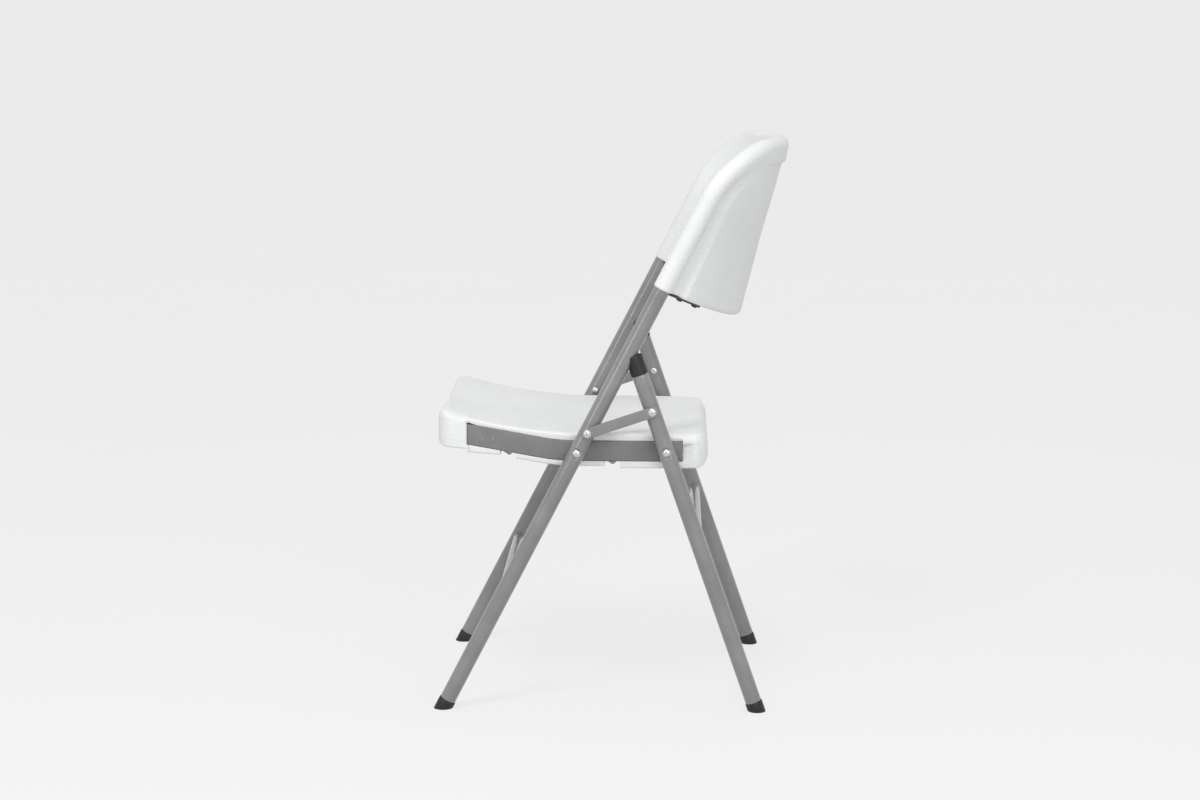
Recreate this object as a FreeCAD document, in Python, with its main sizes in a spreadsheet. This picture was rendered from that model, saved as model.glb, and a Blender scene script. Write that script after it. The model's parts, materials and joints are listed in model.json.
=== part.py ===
import FreeCAD, Part
import math
import os
import Sketcher

# Plastic folding chair, millimetres and degrees. The chair faces -Y, the sitter's left is +X,
# the floor is Z = 0 and the origin lies on the floor under the middle of the chair.

doc = FreeCAD.newDocument("folding_chair")
sheet = doc.addObject("Spreadsheet::Sheet", "sizes")

# Driving dimensions. "Along" is measured from the floor up the tube that carries the thing.
# Seat sizes are measured from the front seat pivot: +Y rearward, +Z up.
DRIVING = {
    "tube_diameter": 25.0,
    "tube_wall": 1.5,
    "half_track": 212.5,
    "front_tilt": 27.1,
    "rear_tilt": 19.3,
    "front_foot_y": -261.4,
    "foot_spread": 486.9,
    "front_tube_top": 890.0,
    "cap_setback": 35.6,
    "pivot_a_along": 454.5,
    "pivot_b_along": 430.7,
    "link_rise": 35.9,
    "link_lift": 67.6,
    "fit_clearance": 0.05,
    "slide_clearance": 0.2,
    "body_clearance": 0.35,
    "foot_diameter": 26.6,
    "foot_height": 16.0,
    "foot_plug_length": 22.0,
    "foot_rib_pitch": 5.0,
    "foot_rib_depth": 0.8,
    "cap_diameter": 27.0,
    "cap_overlap": 6.0,
    "cap_reach": 25.0,
    "cap_round": 3.0,
    "cap_plug_length": 24.0,
    "brace_diameter": 16.0,
    "brace_wall": 1.2,
    "front_brace_along": 206.0,
    "rear_brace_along": 286.7,
    "dimple_diameter": 15.5,
    "dimple_depth": 2.5,
    "rivet_shank": 6.0,
    "rivet_head_diameter": 12.5,
    "rivet_head_height": 2.7,
    "rivet_tail_diameter": 9.5,
    "rivet_tail_height": 2.2,
    "link_width": 16.5,
    "link_thickness": 3.0,
    "link_edge_round": 0.8,
    "link_gap": 1.0,
    "washer_diameter": 15.0,
    "spacer_diameter": 16.0,
    "seat_gap": 9.0,
    "rail_height": 31.0,
    "rail_depth": 12.0,
    "rail_sheet": 2.0,
    "rail_front": -169.0,
    "rail_rear": 161.8,
    "rail_drop": 1.0,
    "rail_bend_radius": 330.0,
    "rail_rise_angle": 9.9,
    "rail_pocket_clearance": 0.5,
    "rail_slot_height": 17.0,
    "rail_slot_width": 12.6,
    "rod_diameter": 9.5,
    "front_rod_y": -106.7,
    "rear_rod_y": 54.0,
    "clip_sheet": 1.5,
    "clip_width": 14.0,
    "clip_tab": 11.0,
    "clip_offset": 92.0,
    "clip_room": 3.0,
    "weld_sink": 0.3,
    "seat_lap": 3.5,
    "seat_front": -214.0,
    "seat_rear": 201.0,
    "seat_top": 26.0,
    "seat_flat_start": 20.0,
    "seat_front_rise": 36.5,
    "seat_dish": 9.0,
    "seat_front_dish": 5.0,
    "seat_nose_bottom": 1.5,
    "seat_front_corner": 24.0,
    "seat_rear_corner": 40.0,
    "seat_top_round": 14.0,
    "seat_pocket_rear": 190.0,
    "pad_inset": 0.5,
    "pad_root": 11.0,
    "pad_front_low": -9.0,
    "pad_middle_low_front": -14.0,
    "pad_middle_low_rear": -25.6,
    "pad_rear_low": -27.5,
    "pad_rear_end": 190.0,
    "pad_rear_corner": 34.0,
    "pad_round": 3.0,
    "groove_width": 24.0,
    "tube_in_back": 153.0,
    "back_middle_rise": 140.0,
    "back_height": 283.0,
    "back_bow_bottom": 139.0,
    "back_bow_middle": 107.0,
    "back_bow_top": 83.0,
    "back_thickness": 26.0,
    "back_edge_out": 6.0,
    "back_edge_y": 8.0,
    "back_edge_thickness": 14.0,
    "back_corner": 118.0,
    "back_crown": 812.0,
    "back_spare": 20.0,
    "back_round": 9.0,
    "back_foot_round": 6.0,
    "sleeve_wall": 2.2,
    "sleeve_dome": 58.0,
    "bracket_width": 18.0,
    "bracket_sheet": 3.0,
    "bracket_run": 43.0,
    "bracket_end_y": 57.0,
    "bracket_near_share": 0.55,
    "screw_shank": 4.2,
    "screw_length": 14.0,
    "screw_head_diameter": 9.0,
    "screw_head_height": 2.4,
}

# Sizes that follow from the driving dimensions.
DERIVED = {
    "tube_radius": "tube_diameter / 2",
    "tube_bore": "tube_radius - tube_wall",
    "rear_foot_y": "front_foot_y + foot_spread",
    "pivot_a_y": "front_foot_y + pivot_a_along * sin(front_tilt)",
    "pivot_a_z": "pivot_a_along * cos(front_tilt)",
    "pivot_b_y": "rear_foot_y - pivot_b_along * sin(rear_tilt)",
    "pivot_b_z": "pivot_b_along * cos(rear_tilt)",
    "link_front_along": "pivot_a_along + link_rise",
    "link_rear_along": "pivot_b_along + link_lift",
    "pivot_c_y": "front_foot_y + link_front_along * sin(front_tilt)",
    "pivot_c_z": "link_front_along * cos(front_tilt)",
    "pivot_d_y": "rear_foot_y - link_rear_along * sin(rear_tilt)",
    "pivot_d_z": "link_rear_along * cos(rear_tilt)",
    "link_length": "sqrt((pivot_d_y - pivot_c_y)^2 + (pivot_d_z - pivot_c_z)^2)",
    "link_turn": "atan((pivot_d_z - pivot_c_z) / (pivot_d_y - pivot_c_y)) / 1 deg",
    "tubes_cross_along": "foot_spread / (tan(front_tilt) + tan(rear_tilt)) / cos(rear_tilt)",
    "rear_tube_top": "tubes_cross_along - cap_setback",
    "tube_outside": "half_track + tube_radius",
    "tube_inside": "half_track - tube_radius",
    "link_inside": "tube_outside + link_gap",
    "link_outside": "link_inside + link_thickness",
    "seat_b_y": "pivot_b_y - pivot_a_y",
    "seat_b_z": "pivot_b_z - pivot_a_z",
    "rail_face": "tube_inside - seat_gap",
    "seat_half_width": "rail_face + seat_lap",
    "pad_half_width": "seat_half_width - pad_inset",
    "rail_inside": "rail_face - rail_sheet",
    "rail_back": "rail_face - rail_depth",
    "rail_low": "-rail_drop - rail_height / 2",
    "slab_low": "rail_low - rail_pocket_clearance",
    "slab_bend": "rail_bend_radius + rail_height / 2 + rail_pocket_clearance",
    "seat_nose_back": "rail_front - rail_pocket_clearance",
    "seat_sweep": "seat_flat_start - seat_front",
    "rail_middle_z": "rail_bend_radius - rail_drop",
    "rail_under_bend": "rail_bend_radius + rail_height / 2",
    "rail_front_low": "rail_middle_z - rail_under_bend * cos(rail_rise_angle)"
                      " - (rail_under_bend * sin(rail_rise_angle) + front_rod_y) * tan(rail_rise_angle)",
    "rod_radius": "rod_diameter / 2",
    "rod_hang": "rod_radius - weld_sink",
    "front_rod_z": "rail_front_low - rod_hang / cos(rail_rise_angle)",
    "rear_rod_z": "rail_low - rod_hang",
    "clip_up": "rod_hang - rail_pocket_clearance",
    "clip_inside": "rod_radius + fit_clearance",
    "clip_outside": "clip_inside + clip_sheet",
    "clip_reach": "clip_outside + clip_tab",
    "bracket_end_x": "half_track - bracket_run",
    "bracket_length": "sqrt(bracket_run^2 + bracket_end_y^2)",
    "bracket_turn": "180 - atan(bracket_end_y / bracket_run) / 1 deg",
    "sleeve_radius": "tube_radius + sleeve_wall",
    "sleeve_top": "front_tube_top - tube_wall",
    "cap_start": "rear_tube_top - cap_overlap",
    "cap_end": "rear_tube_top + cap_reach",
    "back_half_width": "half_track + sleeve_radius + fit_clearance",
    "back_edge_x": "half_track + back_edge_out",
    "back_bottom": "front_tube_top - tube_in_back",
    "back_middle": "back_bottom + back_middle_rise",
    "back_top": "back_bottom + back_height",
    "crown_z": "back_top - back_crown",
    "corner_x": "back_half_width - back_corner",
    "corner_z": "crown_z + sqrt((back_crown - back_corner)^2 - corner_x^2)",
    "crown_share": "back_crown / (back_crown - back_corner)",
    "crown_end_x": "corner_x * crown_share",
    "crown_end_z": "crown_z + (corner_z - crown_z) * crown_share",
}

for row, (alias, content) in enumerate([*DRIVING.items(), *DERIVED.items()], start=1):
    sheet.set(f"A{row}", alias)
    sheet.set(f"B{row}", f"={content}" if isinstance(content, str) else str(content))
    sheet.setAlias(f"B{row}", alias)
doc.recompute()

X_AXIS = FreeCAD.Vector(1, 0, 0)
Y_AXIS = FreeCAD.Vector(0, 1, 0)
Z_AXIS = FreeCAD.Vector(0, 0, 1)
UPRIGHT = FreeCAD.Rotation()
ALONG_X = FreeCAD.Rotation(Y_AXIS, 90)


def number(expression):
    """Value of an expression on the sheet's sizes, as a plain number."""
    value = sheet.evalExpression(expression)
    return float(getattr(value, "Value", value))


# Frames of the folding parts at rest, each as (Y, Z, turn about X).
FRAMES = {
    "front": ("sizes.front_foot_y", "0", "-sizes.front_tilt"),
    "rear": ("sizes.rear_foot_y", "0", "sizes.rear_tilt"),
    "seat": ("sizes.pivot_a_y", "sizes.pivot_a_z", "0"),
    "link": ("sizes.pivot_c_y", "sizes.pivot_c_z", "sizes.link_turn"),
}


def place(piece, frame, at=("0", "0", "0"), tip="0"):
    """Stand a piece that is drawn in a frame's own axes, or from a point of the frame and tipped
    about X there, where the frame stands at rest."""
    y, z, turn = FRAMES[frame]
    across, back, up = at
    piece.Placement = FreeCAD.Placement(FreeCAD.Vector(), FreeCAD.Rotation(X_AXIS, 1))
    piece.setExpression("Placement.Base.x", across)
    piece.setExpression("Placement.Base.y", f"{y} + ({back}) * cos({turn}) - ({up}) * sin({turn})")
    piece.setExpression("Placement.Base.z", f"{z} + ({back}) * sin({turn}) + ({up}) * cos({turn})")
    piece.setExpression("Placement.Rotation.Angle", f"({turn} + ({tip})) * 1 deg")
    return piece


def solid(kind, name, lengths, at=("0", "0", "0"), turn=UPRIGHT):
    """A primitive with its lengths and its place bound to the sheet."""
    piece = doc.addObject(f"Part::{kind}", name)
    piece.Placement = FreeCAD.Placement(FreeCAD.Vector(), turn)
    for length, expression in lengths.items():
        piece.setExpression(length, expression)
    for axis, expression in zip("xyz", at):
        piece.setExpression(f"Placement.Base.{axis}", expression)
    return piece


def rod(name, radius, length, at, turn=UPRIGHT):
    return solid("Cylinder", name, {"Radius": radius, "Height": length}, at, turn)


def fuse(name, *pieces):
    union = doc.addObject("Part::MultiFuse", name)
    union.Shapes = list(pieces)
    return union


def cut(name, base, *tools):
    result = doc.addObject("Part::Cut", name)
    result.Base = base
    result.Tool = tools[0] if len(tools) == 1 else fuse(f"{name}_tools", *tools)
    return result


def mirror(name, source):
    """The right-hand twin of a left-hand piece."""
    twin = doc.addObject("Part::Mirroring", name)
    twin.Source = source
    twin.Base = FreeCAD.Vector()
    twin.Normal = X_AXIS
    return twin


def group(name, *pieces):
    bundle = doc.addObject("Part::Compound", name)
    bundle.Links = list(pieces)
    return bundle


def new_body(name):
    return doc.addObject("PartDesign::Body", name)


def sketch_on(body, name, plane, offset="0"):
    sketch = body.newObject("Sketcher::SketchObject", name)
    support = next(item for item in body.Origin.OriginFeatures if item.Role == plane)
    sketch.AttachmentSupport = [(support, "")]
    sketch.MapMode = "FlatFace"
    sketch.setExpression("AttachmentOffset.Base.z", offset)
    return sketch


def pin(sketch, geometry, point, across, up):
    """Hold a sketch point at its sheet-bound distances from the sketch's origin."""
    for direction, axis, expression in (("DistanceX", -2, across), ("DistanceY", -1, up)):
        if expression is None:
            continue
        if expression == "0":
            sketch.addConstraint(Sketcher.Constraint("PointOnObject", geometry, point, axis))
            continue
        value = number(expression)
        index = sketch.addConstraint(Sketcher.Constraint(direction, -1, 1, geometry, point, value))
        sketch.setExpression(f"Constraints[{index}]", expression)


def trace(sketch, steps):
    """Closed outline. A step is (across, up) for a line to that point, or (across, up, centre
    across, centre up, turn) for an arc to it, where turn is 1 anticlockwise and -1 clockwise."""
    points = [FreeCAD.Vector(number(step[0]), number(step[1]), 0) for step in steps]
    ends = []
    for i, step in enumerate(steps):
        start, end = points[i - 1], points[i]
        if len(step) == 2:
            geometry = sketch.addGeometry(Part.LineSegment(start, end), False)
            ends.append((geometry, 1, 2))
            continue
        centre = FreeCAD.Vector(number(step[2]), number(step[3]), 0)
        circle = Part.Circle(centre, Z_AXIS, (end - centre).Length)
        first, last = (start, end) if step[4] > 0 else (end, start)
        angles = [math.atan2(p.y - centre.y, p.x - centre.x) for p in (first, last)]
        if angles[1] <= angles[0]:
            angles[1] += 2 * math.pi
        geometry = sketch.addGeometry(Part.ArcOfCircle(circle, *angles), False)
        ends.append((geometry, 1, 2) if step[4] > 0 else (geometry, 2, 1))
        chord = end - start
        upright = abs(chord.y) > abs(chord.x)
        pin(sketch, geometry, 3, step[2] if upright else None, None if upright else step[3])
    for i, step in enumerate(steps):
        before, after = ends[i], ends[(i + 1) % len(ends)]
        sketch.addConstraint(Sketcher.Constraint("Coincident", before[0], before[2], after[0], after[1]))
        pin(sketch, before[0], before[2], step[0], step[1])
    return sketch


def round_hole(sketch, across, up, radius):
    """Circle in a sketch with its middle and its radius bound to the sheet."""
    middle = FreeCAD.Vector(number(across), number(up), 0)
    circle = sketch.addGeometry(Part.Circle(middle, Z_AXIS, number(radius)), False)
    pin(sketch, circle, 3, across, up)
    held = sketch.addConstraint(Sketcher.Constraint("Radius", circle, number(radius)))
    sketch.setExpression(f"Constraints[{held}]", radius)


def pad(body, name, sketch, length, symmetric=False, reverse=False):
    feature = body.newObject("PartDesign::Pad", name)
    feature.Profile = sketch
    feature.SideType = "Symmetric" if symmetric else "One side"
    feature.Reversed = reverse
    feature.setExpression("Length", length)
    return feature


def pocket(body, name, sketch, length, symmetric=False, reverse=False):
    feature = body.newObject("PartDesign::Pocket", name)
    feature.Profile = sketch
    feature.SideType = "Symmetric" if symmetric else "One side"
    feature.Reversed = reverse
    feature.setExpression("Length", length)
    return feature


def loft(body, name, sections):
    feature = body.newObject("PartDesign::AdditiveLoft", name)
    feature.Profile = sections[0]
    feature.Sections = sections[1:]
    return feature


def round_edges(body, name, base, keep, radius):
    """Fillet the edges of a feature for which keep(edge) is true."""
    doc.recompute()
    picked = [f"Edge{i}" for i, edge in enumerate(base.Shape.Edges, start=1) if keep(edge)]
    feature = body.newObject("PartDesign::Fillet", name)
    feature.Base = (base, picked)
    feature.setExpression("Radius", radius)
    return feature


def rim_of(shape, faces):
    """Test for the edges that bound a set of a shape's faces."""
    counts = {}
    for face in faces:
        for edge in face.Edges:
            counts[edge.hashCode()] = counts.get(edge.hashCode(), 0) + 1
    return lambda edge: counts.get(edge.hashCode()) == 1


def facing(shape, direction, least=0.8):
    """Faces whose normal at their middle points within reach of a direction."""
    found = []
    for face in shape.Faces:
        low_u, high_u, low_v, high_v = face.ParameterRange
        normal = face.normalAt((low_u + high_u) / 2, (low_v + high_v) / 2)
        if normal.dot(direction) > least:
            found.append(face)
    return found


NODES = {}


def keep_node(node, piece):
    piece.Label = node
    NODES[node] = piece


def keep_pair(stem, left_piece):
    """Keep a left-hand piece and its right-hand twin as two nodes."""
    keep_node(f"left_{stem}", left_piece)
    keep_node(f"right_{stem}", mirror(f"right_{stem}_twin", left_piece))


def keep_group(node, *left_pieces):
    """Keep like pieces from both sides as the solids of one node."""
    twins = [mirror(f"{piece.Name}_twin", piece) for piece in left_pieces]
    keep_node(node, group(f"{node}_group", *left_pieces, *twins))


# Front and rear tubes: round steel tube, pressed flat on the outside where a seat rivet's head sinks in.
def leg_tube(name, start, end, dimple_along, plain_along):
    axis_x = "sizes.half_track"
    wall = rod(f"{name}_wall", "sizes.tube_radius", f"{end} - ({start})", (axis_x, "0", start))
    bore = rod(f"{name}_bore", "sizes.tube_bore", f"{end} - ({start})", (axis_x, "0", start))
    hollow = cut(f"{name}_hollow", wall, bore)
    floor_x = "sizes.tube_outside - sizes.dimple_depth"
    plate = rod(f"{name}_plate", "sizes.dimple_diameter / 2 + sizes.tube_wall", "sizes.tube_wall",
                (f"{floor_x} - sizes.tube_wall", "0", dimple_along), ALONG_X)
    outer = rod(f"{name}_outer", "sizes.tube_radius", f"{end} - ({start})", (axis_x, "0", start))
    trimmed = doc.addObject("Part::Common", f"{name}_trimmed_plate")
    trimmed.Base = plate
    trimmed.Tool = outer
    backed = fuse(f"{name}_backed", hollow, trimmed)
    press = rod(f"{name}_press", "sizes.dimple_diameter / 2", "sizes.tube_diameter",
                (floor_x, "0", dimple_along), ALONG_X)
    holes = [rod(f"{name}_hole_{i}", "sizes.rivet_shank / 2 + sizes.fit_clearance", "sizes.tube_diameter * 2",
                 (f"{axis_x} - sizes.tube_diameter", "0", along), ALONG_X)
             for i, along in enumerate((dimple_along, plain_along))]
    return cut(name, backed, press, *holes)


front_tube = leg_tube("front_tube", "sizes.foot_height", "sizes.front_tube_top",
                      "sizes.pivot_a_along", "sizes.link_front_along")
rear_tube = leg_tube("rear_tube", "sizes.foot_height", "sizes.rear_tube_top",
                     "sizes.pivot_b_along", "sizes.link_rear_along")
keep_pair("front_tube", place(front_tube, "front"))
keep_pair("rear_tube", place(rear_tube, "rear"))


# Feet: black plastic plugs with a collar, ribbed inside the tube and cut flat on the floor.
def foot(name, tilt):
    axis_x = "sizes.half_track"
    reach = "sizes.foot_diameter"
    collar = rod(f"{name}_collar", "sizes.foot_diameter / 2", f"sizes.foot_height + {reach}",
                 (axis_x, "0", f"-{reach}"))
    core = "sizes.tube_bore - sizes.fit_clearance - sizes.foot_rib_depth"
    plug = rod(f"{name}_plug", core, "sizes.foot_plug_length", (axis_x, "0", "sizes.foot_height"))
    ribs = [rod(f"{name}_rib_{i}", "sizes.tube_bore - sizes.fit_clearance", "sizes.foot_rib_pitch / 2",
                (axis_x, "0", f"sizes.foot_height + sizes.foot_rib_pitch * {i + 0.5}"))
            for i in range(4)]
    block = fuse(f"{name}_block", collar, plug, *ribs)
    floor = solid("Box", f"{name}_floor", {"Length": f"{reach} * 4", "Width": f"{reach} * 8",
                                               "Height": f"{reach} * 4"},
                  turn=FreeCAD.Rotation(X_AXIS, 1))
    floor.setExpression("Placement.Rotation.Angle", f"({tilt}) * 1 deg")
    floor.setExpression("Placement.Base.x", f"{axis_x} - {reach} * 2")
    floor.setExpression("Placement.Base.y", f"-4 * {reach} * cos({tilt}) + 4 * {reach} * sin({tilt})")
    floor.setExpression("Placement.Base.z", f"-4 * {reach} * sin({tilt}) - 4 * {reach} * cos({tilt})")
    return cut(name, block, floor)


keep_pair("front_foot", place(foot("front_foot", "sizes.front_tilt"), "front"))
keep_pair("rear_foot", place(foot("rear_foot", "-sizes.rear_tilt"), "rear"))


# Braces: round cross tubes, their ends shaped to the legs they are welded to.
def brace(name, along):
    half = "sizes.half_track"
    at = (f"-{half}", "0", along)
    outside = rod(f"{name}_outside", "sizes.brace_diameter / 2", f"2 * {half}", at, ALONG_X)
    inside = rod(f"{name}_inside", "sizes.brace_diameter / 2 - sizes.brace_wall", f"2 * {half}", at, ALONG_X)
    legs = [rod(f"{name}_leg_{side}", "sizes.tube_radius", "4 * sizes.tube_diameter",
                (f"{side}{half}", "0", f"{along} - 2 * sizes.tube_diameter")) for side in ("-", "1 * ")]
    return cut(name, outside, inside, *legs)


keep_node("front_brace", place(brace("front_brace_tube", "sizes.front_brace_along"), "front"))
keep_node("rear_brace", place(brace("rear_brace_tube", "sizes.rear_brace_along"), "rear"))


# Stop caps: black plastic caps on the rear tubes, hollowed like a saddle where they rest on the front tubes.
cap_length = "sizes.cap_end - sizes.cap_start"
cap_blank = rod("stop_cap_blank", "sizes.cap_diameter / 2", cap_length,
                ("sizes.half_track", "0", "sizes.cap_start"))
cap_rounded = doc.addObject("Part::Fillet", "stop_cap_rounded")
cap_rounded.Base = cap_blank
doc.recompute()
cap_rounded.Edges = [(i, number("sizes.cap_round"), number("sizes.cap_round"))
                     for i, edge in enumerate(cap_blank.Shape.Edges, start=1)
                     if edge.CenterOfMass.z > number("sizes.cap_end") - 1 and len(edge.Vertexes) == 1]
cap_socket = cut("stop_cap_socket",
                 rod("stop_cap_bore", "sizes.tube_radius + sizes.fit_clearance",
                     "sizes.rear_tube_top + sizes.fit_clearance - sizes.cap_start",
                     ("sizes.half_track", "0", "sizes.cap_start")),
                 rod("stop_cap_plug", "sizes.tube_bore - sizes.fit_clearance", "2 * sizes.cap_plug_length",
                     ("sizes.half_track", "0", "sizes.cap_start - sizes.cap_plug_length")))
cap_plug = rod("stop_cap_stem", "sizes.tube_bore - sizes.fit_clearance", "sizes.cap_plug_length",
               ("sizes.half_track", "0", "sizes.rear_tube_top - sizes.cap_plug_length"))
cap_saddle = rod("stop_cap_saddle", "sizes.tube_radius + sizes.body_clearance", "8 * sizes.tube_diameter",
                 ("sizes.half_track", "0", "0"), FreeCAD.Rotation(X_AXIS, 1))
saddle_turn = "sizes.front_tilt + sizes.rear_tilt"
cap_saddle.setExpression("Placement.Rotation.Angle", f"-({saddle_turn}) * 1 deg")
cap_saddle.setExpression("Placement.Base.y", f"-4 * sizes.tube_diameter * sin({saddle_turn})")
cap_saddle.setExpression("Placement.Base.z",
                         f"sizes.tubes_cross_along - 4 * sizes.tube_diameter * cos({saddle_turn})")
cap_shell = cut("stop_cap_shell", cap_rounded, cap_socket)
cap_body = fuse("stop_cap_body", cap_shell, cap_plug)
keep_pair("stop_cap", place(cut("stop_cap", cap_body, cap_saddle), "rear"))


# Links: flat bars with round ends, outside the tubes, from the front tube to the rear tube.
link = new_body("link")
link_half = "sizes.link_width / 2"
link_outline = trace(sketch_on(link, "link_outline", "YZ_Plane", "sizes.link_inside"), [
    ("sizes.link_length", f"-{link_half}"),
    ("sizes.link_length", link_half, "sizes.link_length", "0", 1),
    ("0", link_half),
    ("0", f"-{link_half}", "0", "0", 1),
])
link_bar = pad(link, "link_bar", link_outline, "sizes.link_thickness")
link_edged = round_edges(link, "link_edged", link_bar,
                         lambda edge: edge.CenterOfMass.x > number("sizes.link_outside") - 0.01,
                         "sizes.link_edge_round")
rivet_hole = "sizes.rivet_shank / 2 + sizes.fit_clearance"
for end, across in (("front", "0"), ("rear", "sizes.link_length")):
    hole = sketch_on(link, f"link_{end}_hole", "YZ_Plane", "sizes.link_inside")
    round_hole(hole, across, "0", rivet_hole)
    pocket(link, f"link_{end}_bore", hole, "2 * sizes.link_thickness", reverse=True)
keep_pair("link", place(link, "link"))


# Rivets: domed zinc-plated heads outside, formed tails inside.
def rivet(name, head_base, tail_base):
    body = new_body(name)
    shank = "sizes.rivet_shank / 2"
    head = "sizes.rivet_head_diameter / 2"
    tail = "sizes.rivet_tail_diameter / 2"
    crown = f"{head_base} + sizes.rivet_head_height"
    dome = f"(({head})^2 + sizes.rivet_head_height^2) / (2 * sizes.rivet_head_height)"
    profile = trace(sketch_on(body, f"{name}_profile", "XY_Plane"), [
        (f"{tail_base} - sizes.rivet_tail_height", "0"),
        (crown, "0"),
        (head_base, head, f"{crown} - {dome}", "0", 1),
        (head_base, shank),
        (tail_base, shank),
        (tail_base, tail),
        (f"{tail_base} - sizes.rivet_tail_height", f"{tail} * 0.8"),
    ])
    turned = body.newObject("PartDesign::Revolution", f"{name}_turned")
    turned.Profile = profile
    turned.ReferenceAxis = (profile, ["H_Axis"])
    turned.Angle = 360
    return body


def rivet_at(name, head_base, tail_base, frame, along):
    return place(rivet(name, head_base, tail_base), frame, ("0", "0", along))


sunk_head = "sizes.tube_outside - sizes.dimple_depth"
rail_tail = "sizes.rail_inside - sizes.slide_clearance"
link_head = "sizes.link_outside + sizes.slide_clearance / 2"
keep_group("front_seat_rivets",
           rivet_at("front_seat_rivet", sunk_head, rail_tail, "front", "sizes.pivot_a_along"))
keep_group("rear_seat_rivets",
           rivet_at("rear_seat_rivet", sunk_head, rail_tail, "rear", "sizes.pivot_b_along"))
keep_group("front_link_rivets",
           rivet_at("front_link_rivet", link_head, "sizes.tube_inside", "front", "sizes.link_front_along"))
keep_group("rear_link_rivets",
           rivet_at("rear_link_rivet", link_head, "sizes.tube_inside", "rear", "sizes.link_rear_along"))


# Spacers between tube and rail, and washers between tube and link: nylon, hollowed to the tube.
def saddle_ring(name, diameter, inner_x, outer_x, along):
    ring = rod(f"{name}_ring", f"{diameter} / 2", f"{outer_x} - ({inner_x})", (inner_x, "0", along), ALONG_X)
    tube = rod(f"{name}_tube", "sizes.tube_radius + sizes.fit_clearance", f"2 * {diameter}",
               ("sizes.half_track", "0", f"{along} - {diameter}"))
    hole = rod(f"{name}_hole", "sizes.rivet_shank / 2 + sizes.fit_clearance", f"{outer_x} - ({inner_x})",
               (inner_x, "0", along), ALONG_X)
    return cut(name, ring, tube, hole)


rail_side = "sizes.rail_face + sizes.slide_clearance"
link_side = "sizes.link_inside - sizes.slide_clearance / 2"
for end, along, link_along in (("front", "sizes.pivot_a_along", "sizes.link_front_along"),
                               ("rear", "sizes.pivot_b_along", "sizes.link_rear_along")):
    spacer = saddle_ring(f"{end}_spacer", "sizes.spacer_diameter", rail_side, "sizes.half_track", along)
    washer = saddle_ring(f"{end}_washer", "sizes.washer_diameter", "sizes.half_track", link_side, link_along)
    keep_group(f"{end}_seat_spacers", place(spacer, end))
    keep_group(f"{end}_link_washers", place(washer, end))


# Seat rails: pressed steel trays along the seat's sides, bent up towards the front.
def rail_outline(sketch, front, rear, margin):
    """Outline of the rail, grown by a margin above and below, between a front and a rear end."""
    rise = "sizes.rail_rise_angle"
    middle_z = "sizes.rail_middle_z"
    steps = []
    upper = f"(sizes.rail_bend_radius - sizes.rail_height / 2 - ({margin}))"
    lower = f"(sizes.rail_bend_radius + sizes.rail_height / 2 + ({margin}))"

    def bend_end(radius):
        return f"-{radius} * sin({rise})", f"{middle_z} - {radius} * cos({rise})"

    def front_end(radius):
        across, up = bend_end(radius)
        return front, f"{up} + ({across} - ({front})) * tan({rise})"

    steps.append((rear, f"{middle_z} - {lower}"))
    steps.append((rear, f"{middle_z} - {upper}"))
    steps.append(("0", f"{middle_z} - {upper}"))
    steps.append((*bend_end(upper), "0", middle_z, -1))
    steps.append(front_end(upper))
    steps.append(front_end(lower))
    steps.append(bend_end(lower))
    steps.append(("0", f"{middle_z} - {lower}", "0", middle_z, 1))
    return trace(sketch, steps)


rail = new_body("seat_rail")
rail_outside = sketch_on(rail, "rail_outside", "YZ_Plane", "sizes.rail_back")
rail_outline(rail_outside, "sizes.rail_front", "sizes.rail_rear", "0")
rail_blank = pad(rail, "rail_blank", rail_outside, "sizes.rail_depth")
rail_tray = pocket(rail, "rail_tray",
                   rail_outline(sketch_on(rail, "rail_inside_outline", "YZ_Plane", "sizes.rail_back"),
                                "sizes.rail_front + sizes.rail_sheet", "sizes.rail_rear - sizes.rail_sheet",
                                "-sizes.rail_sheet"),
                   "sizes.rail_depth - sizes.rail_sheet", reverse=True)
rail_edged = round_edges(rail, "rail_edged", rail_tray,
                         lambda edge: edge.CenterOfMass.x > number("sizes.rail_face") - 0.01,
                         "sizes.rail_sheet * 0.7")
pivot_hole = sketch_on(rail, "rail_pivot_hole", "YZ_Plane", "sizes.rail_back")
round_hole(pivot_hole, "0", "0", rivet_hole)
pocket(rail, "rail_pivot", pivot_hole, "2 * sizes.rail_depth", reverse=True)
slot_half = "sizes.rail_slot_width / 2"
slot_reach = "(sizes.rail_slot_height - sizes.rail_slot_width) / 2"
slot_y, slot_z = "sizes.seat_b_y", "sizes.seat_b_z"
slot = trace(sketch_on(rail, "rail_slot_outline", "YZ_Plane", "sizes.rail_back"), [
    (f"{slot_y} + {slot_half}", f"{slot_z} + {slot_reach}"),
    (f"{slot_y} - {slot_half}", f"{slot_z} + {slot_reach}", slot_y, f"{slot_z} + {slot_reach}", 1),
    (f"{slot_y} - {slot_half}", f"{slot_z} - {slot_reach}"),
    (f"{slot_y} + {slot_half}", f"{slot_z} - {slot_reach}", slot_y, f"{slot_z} - {slot_reach}", 1),
])
pocket(rail, "rail_slot", slot, "2 * sizes.rail_depth", reverse=True)
keep_pair("seat_rail", place(rail, "seat"))


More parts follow.
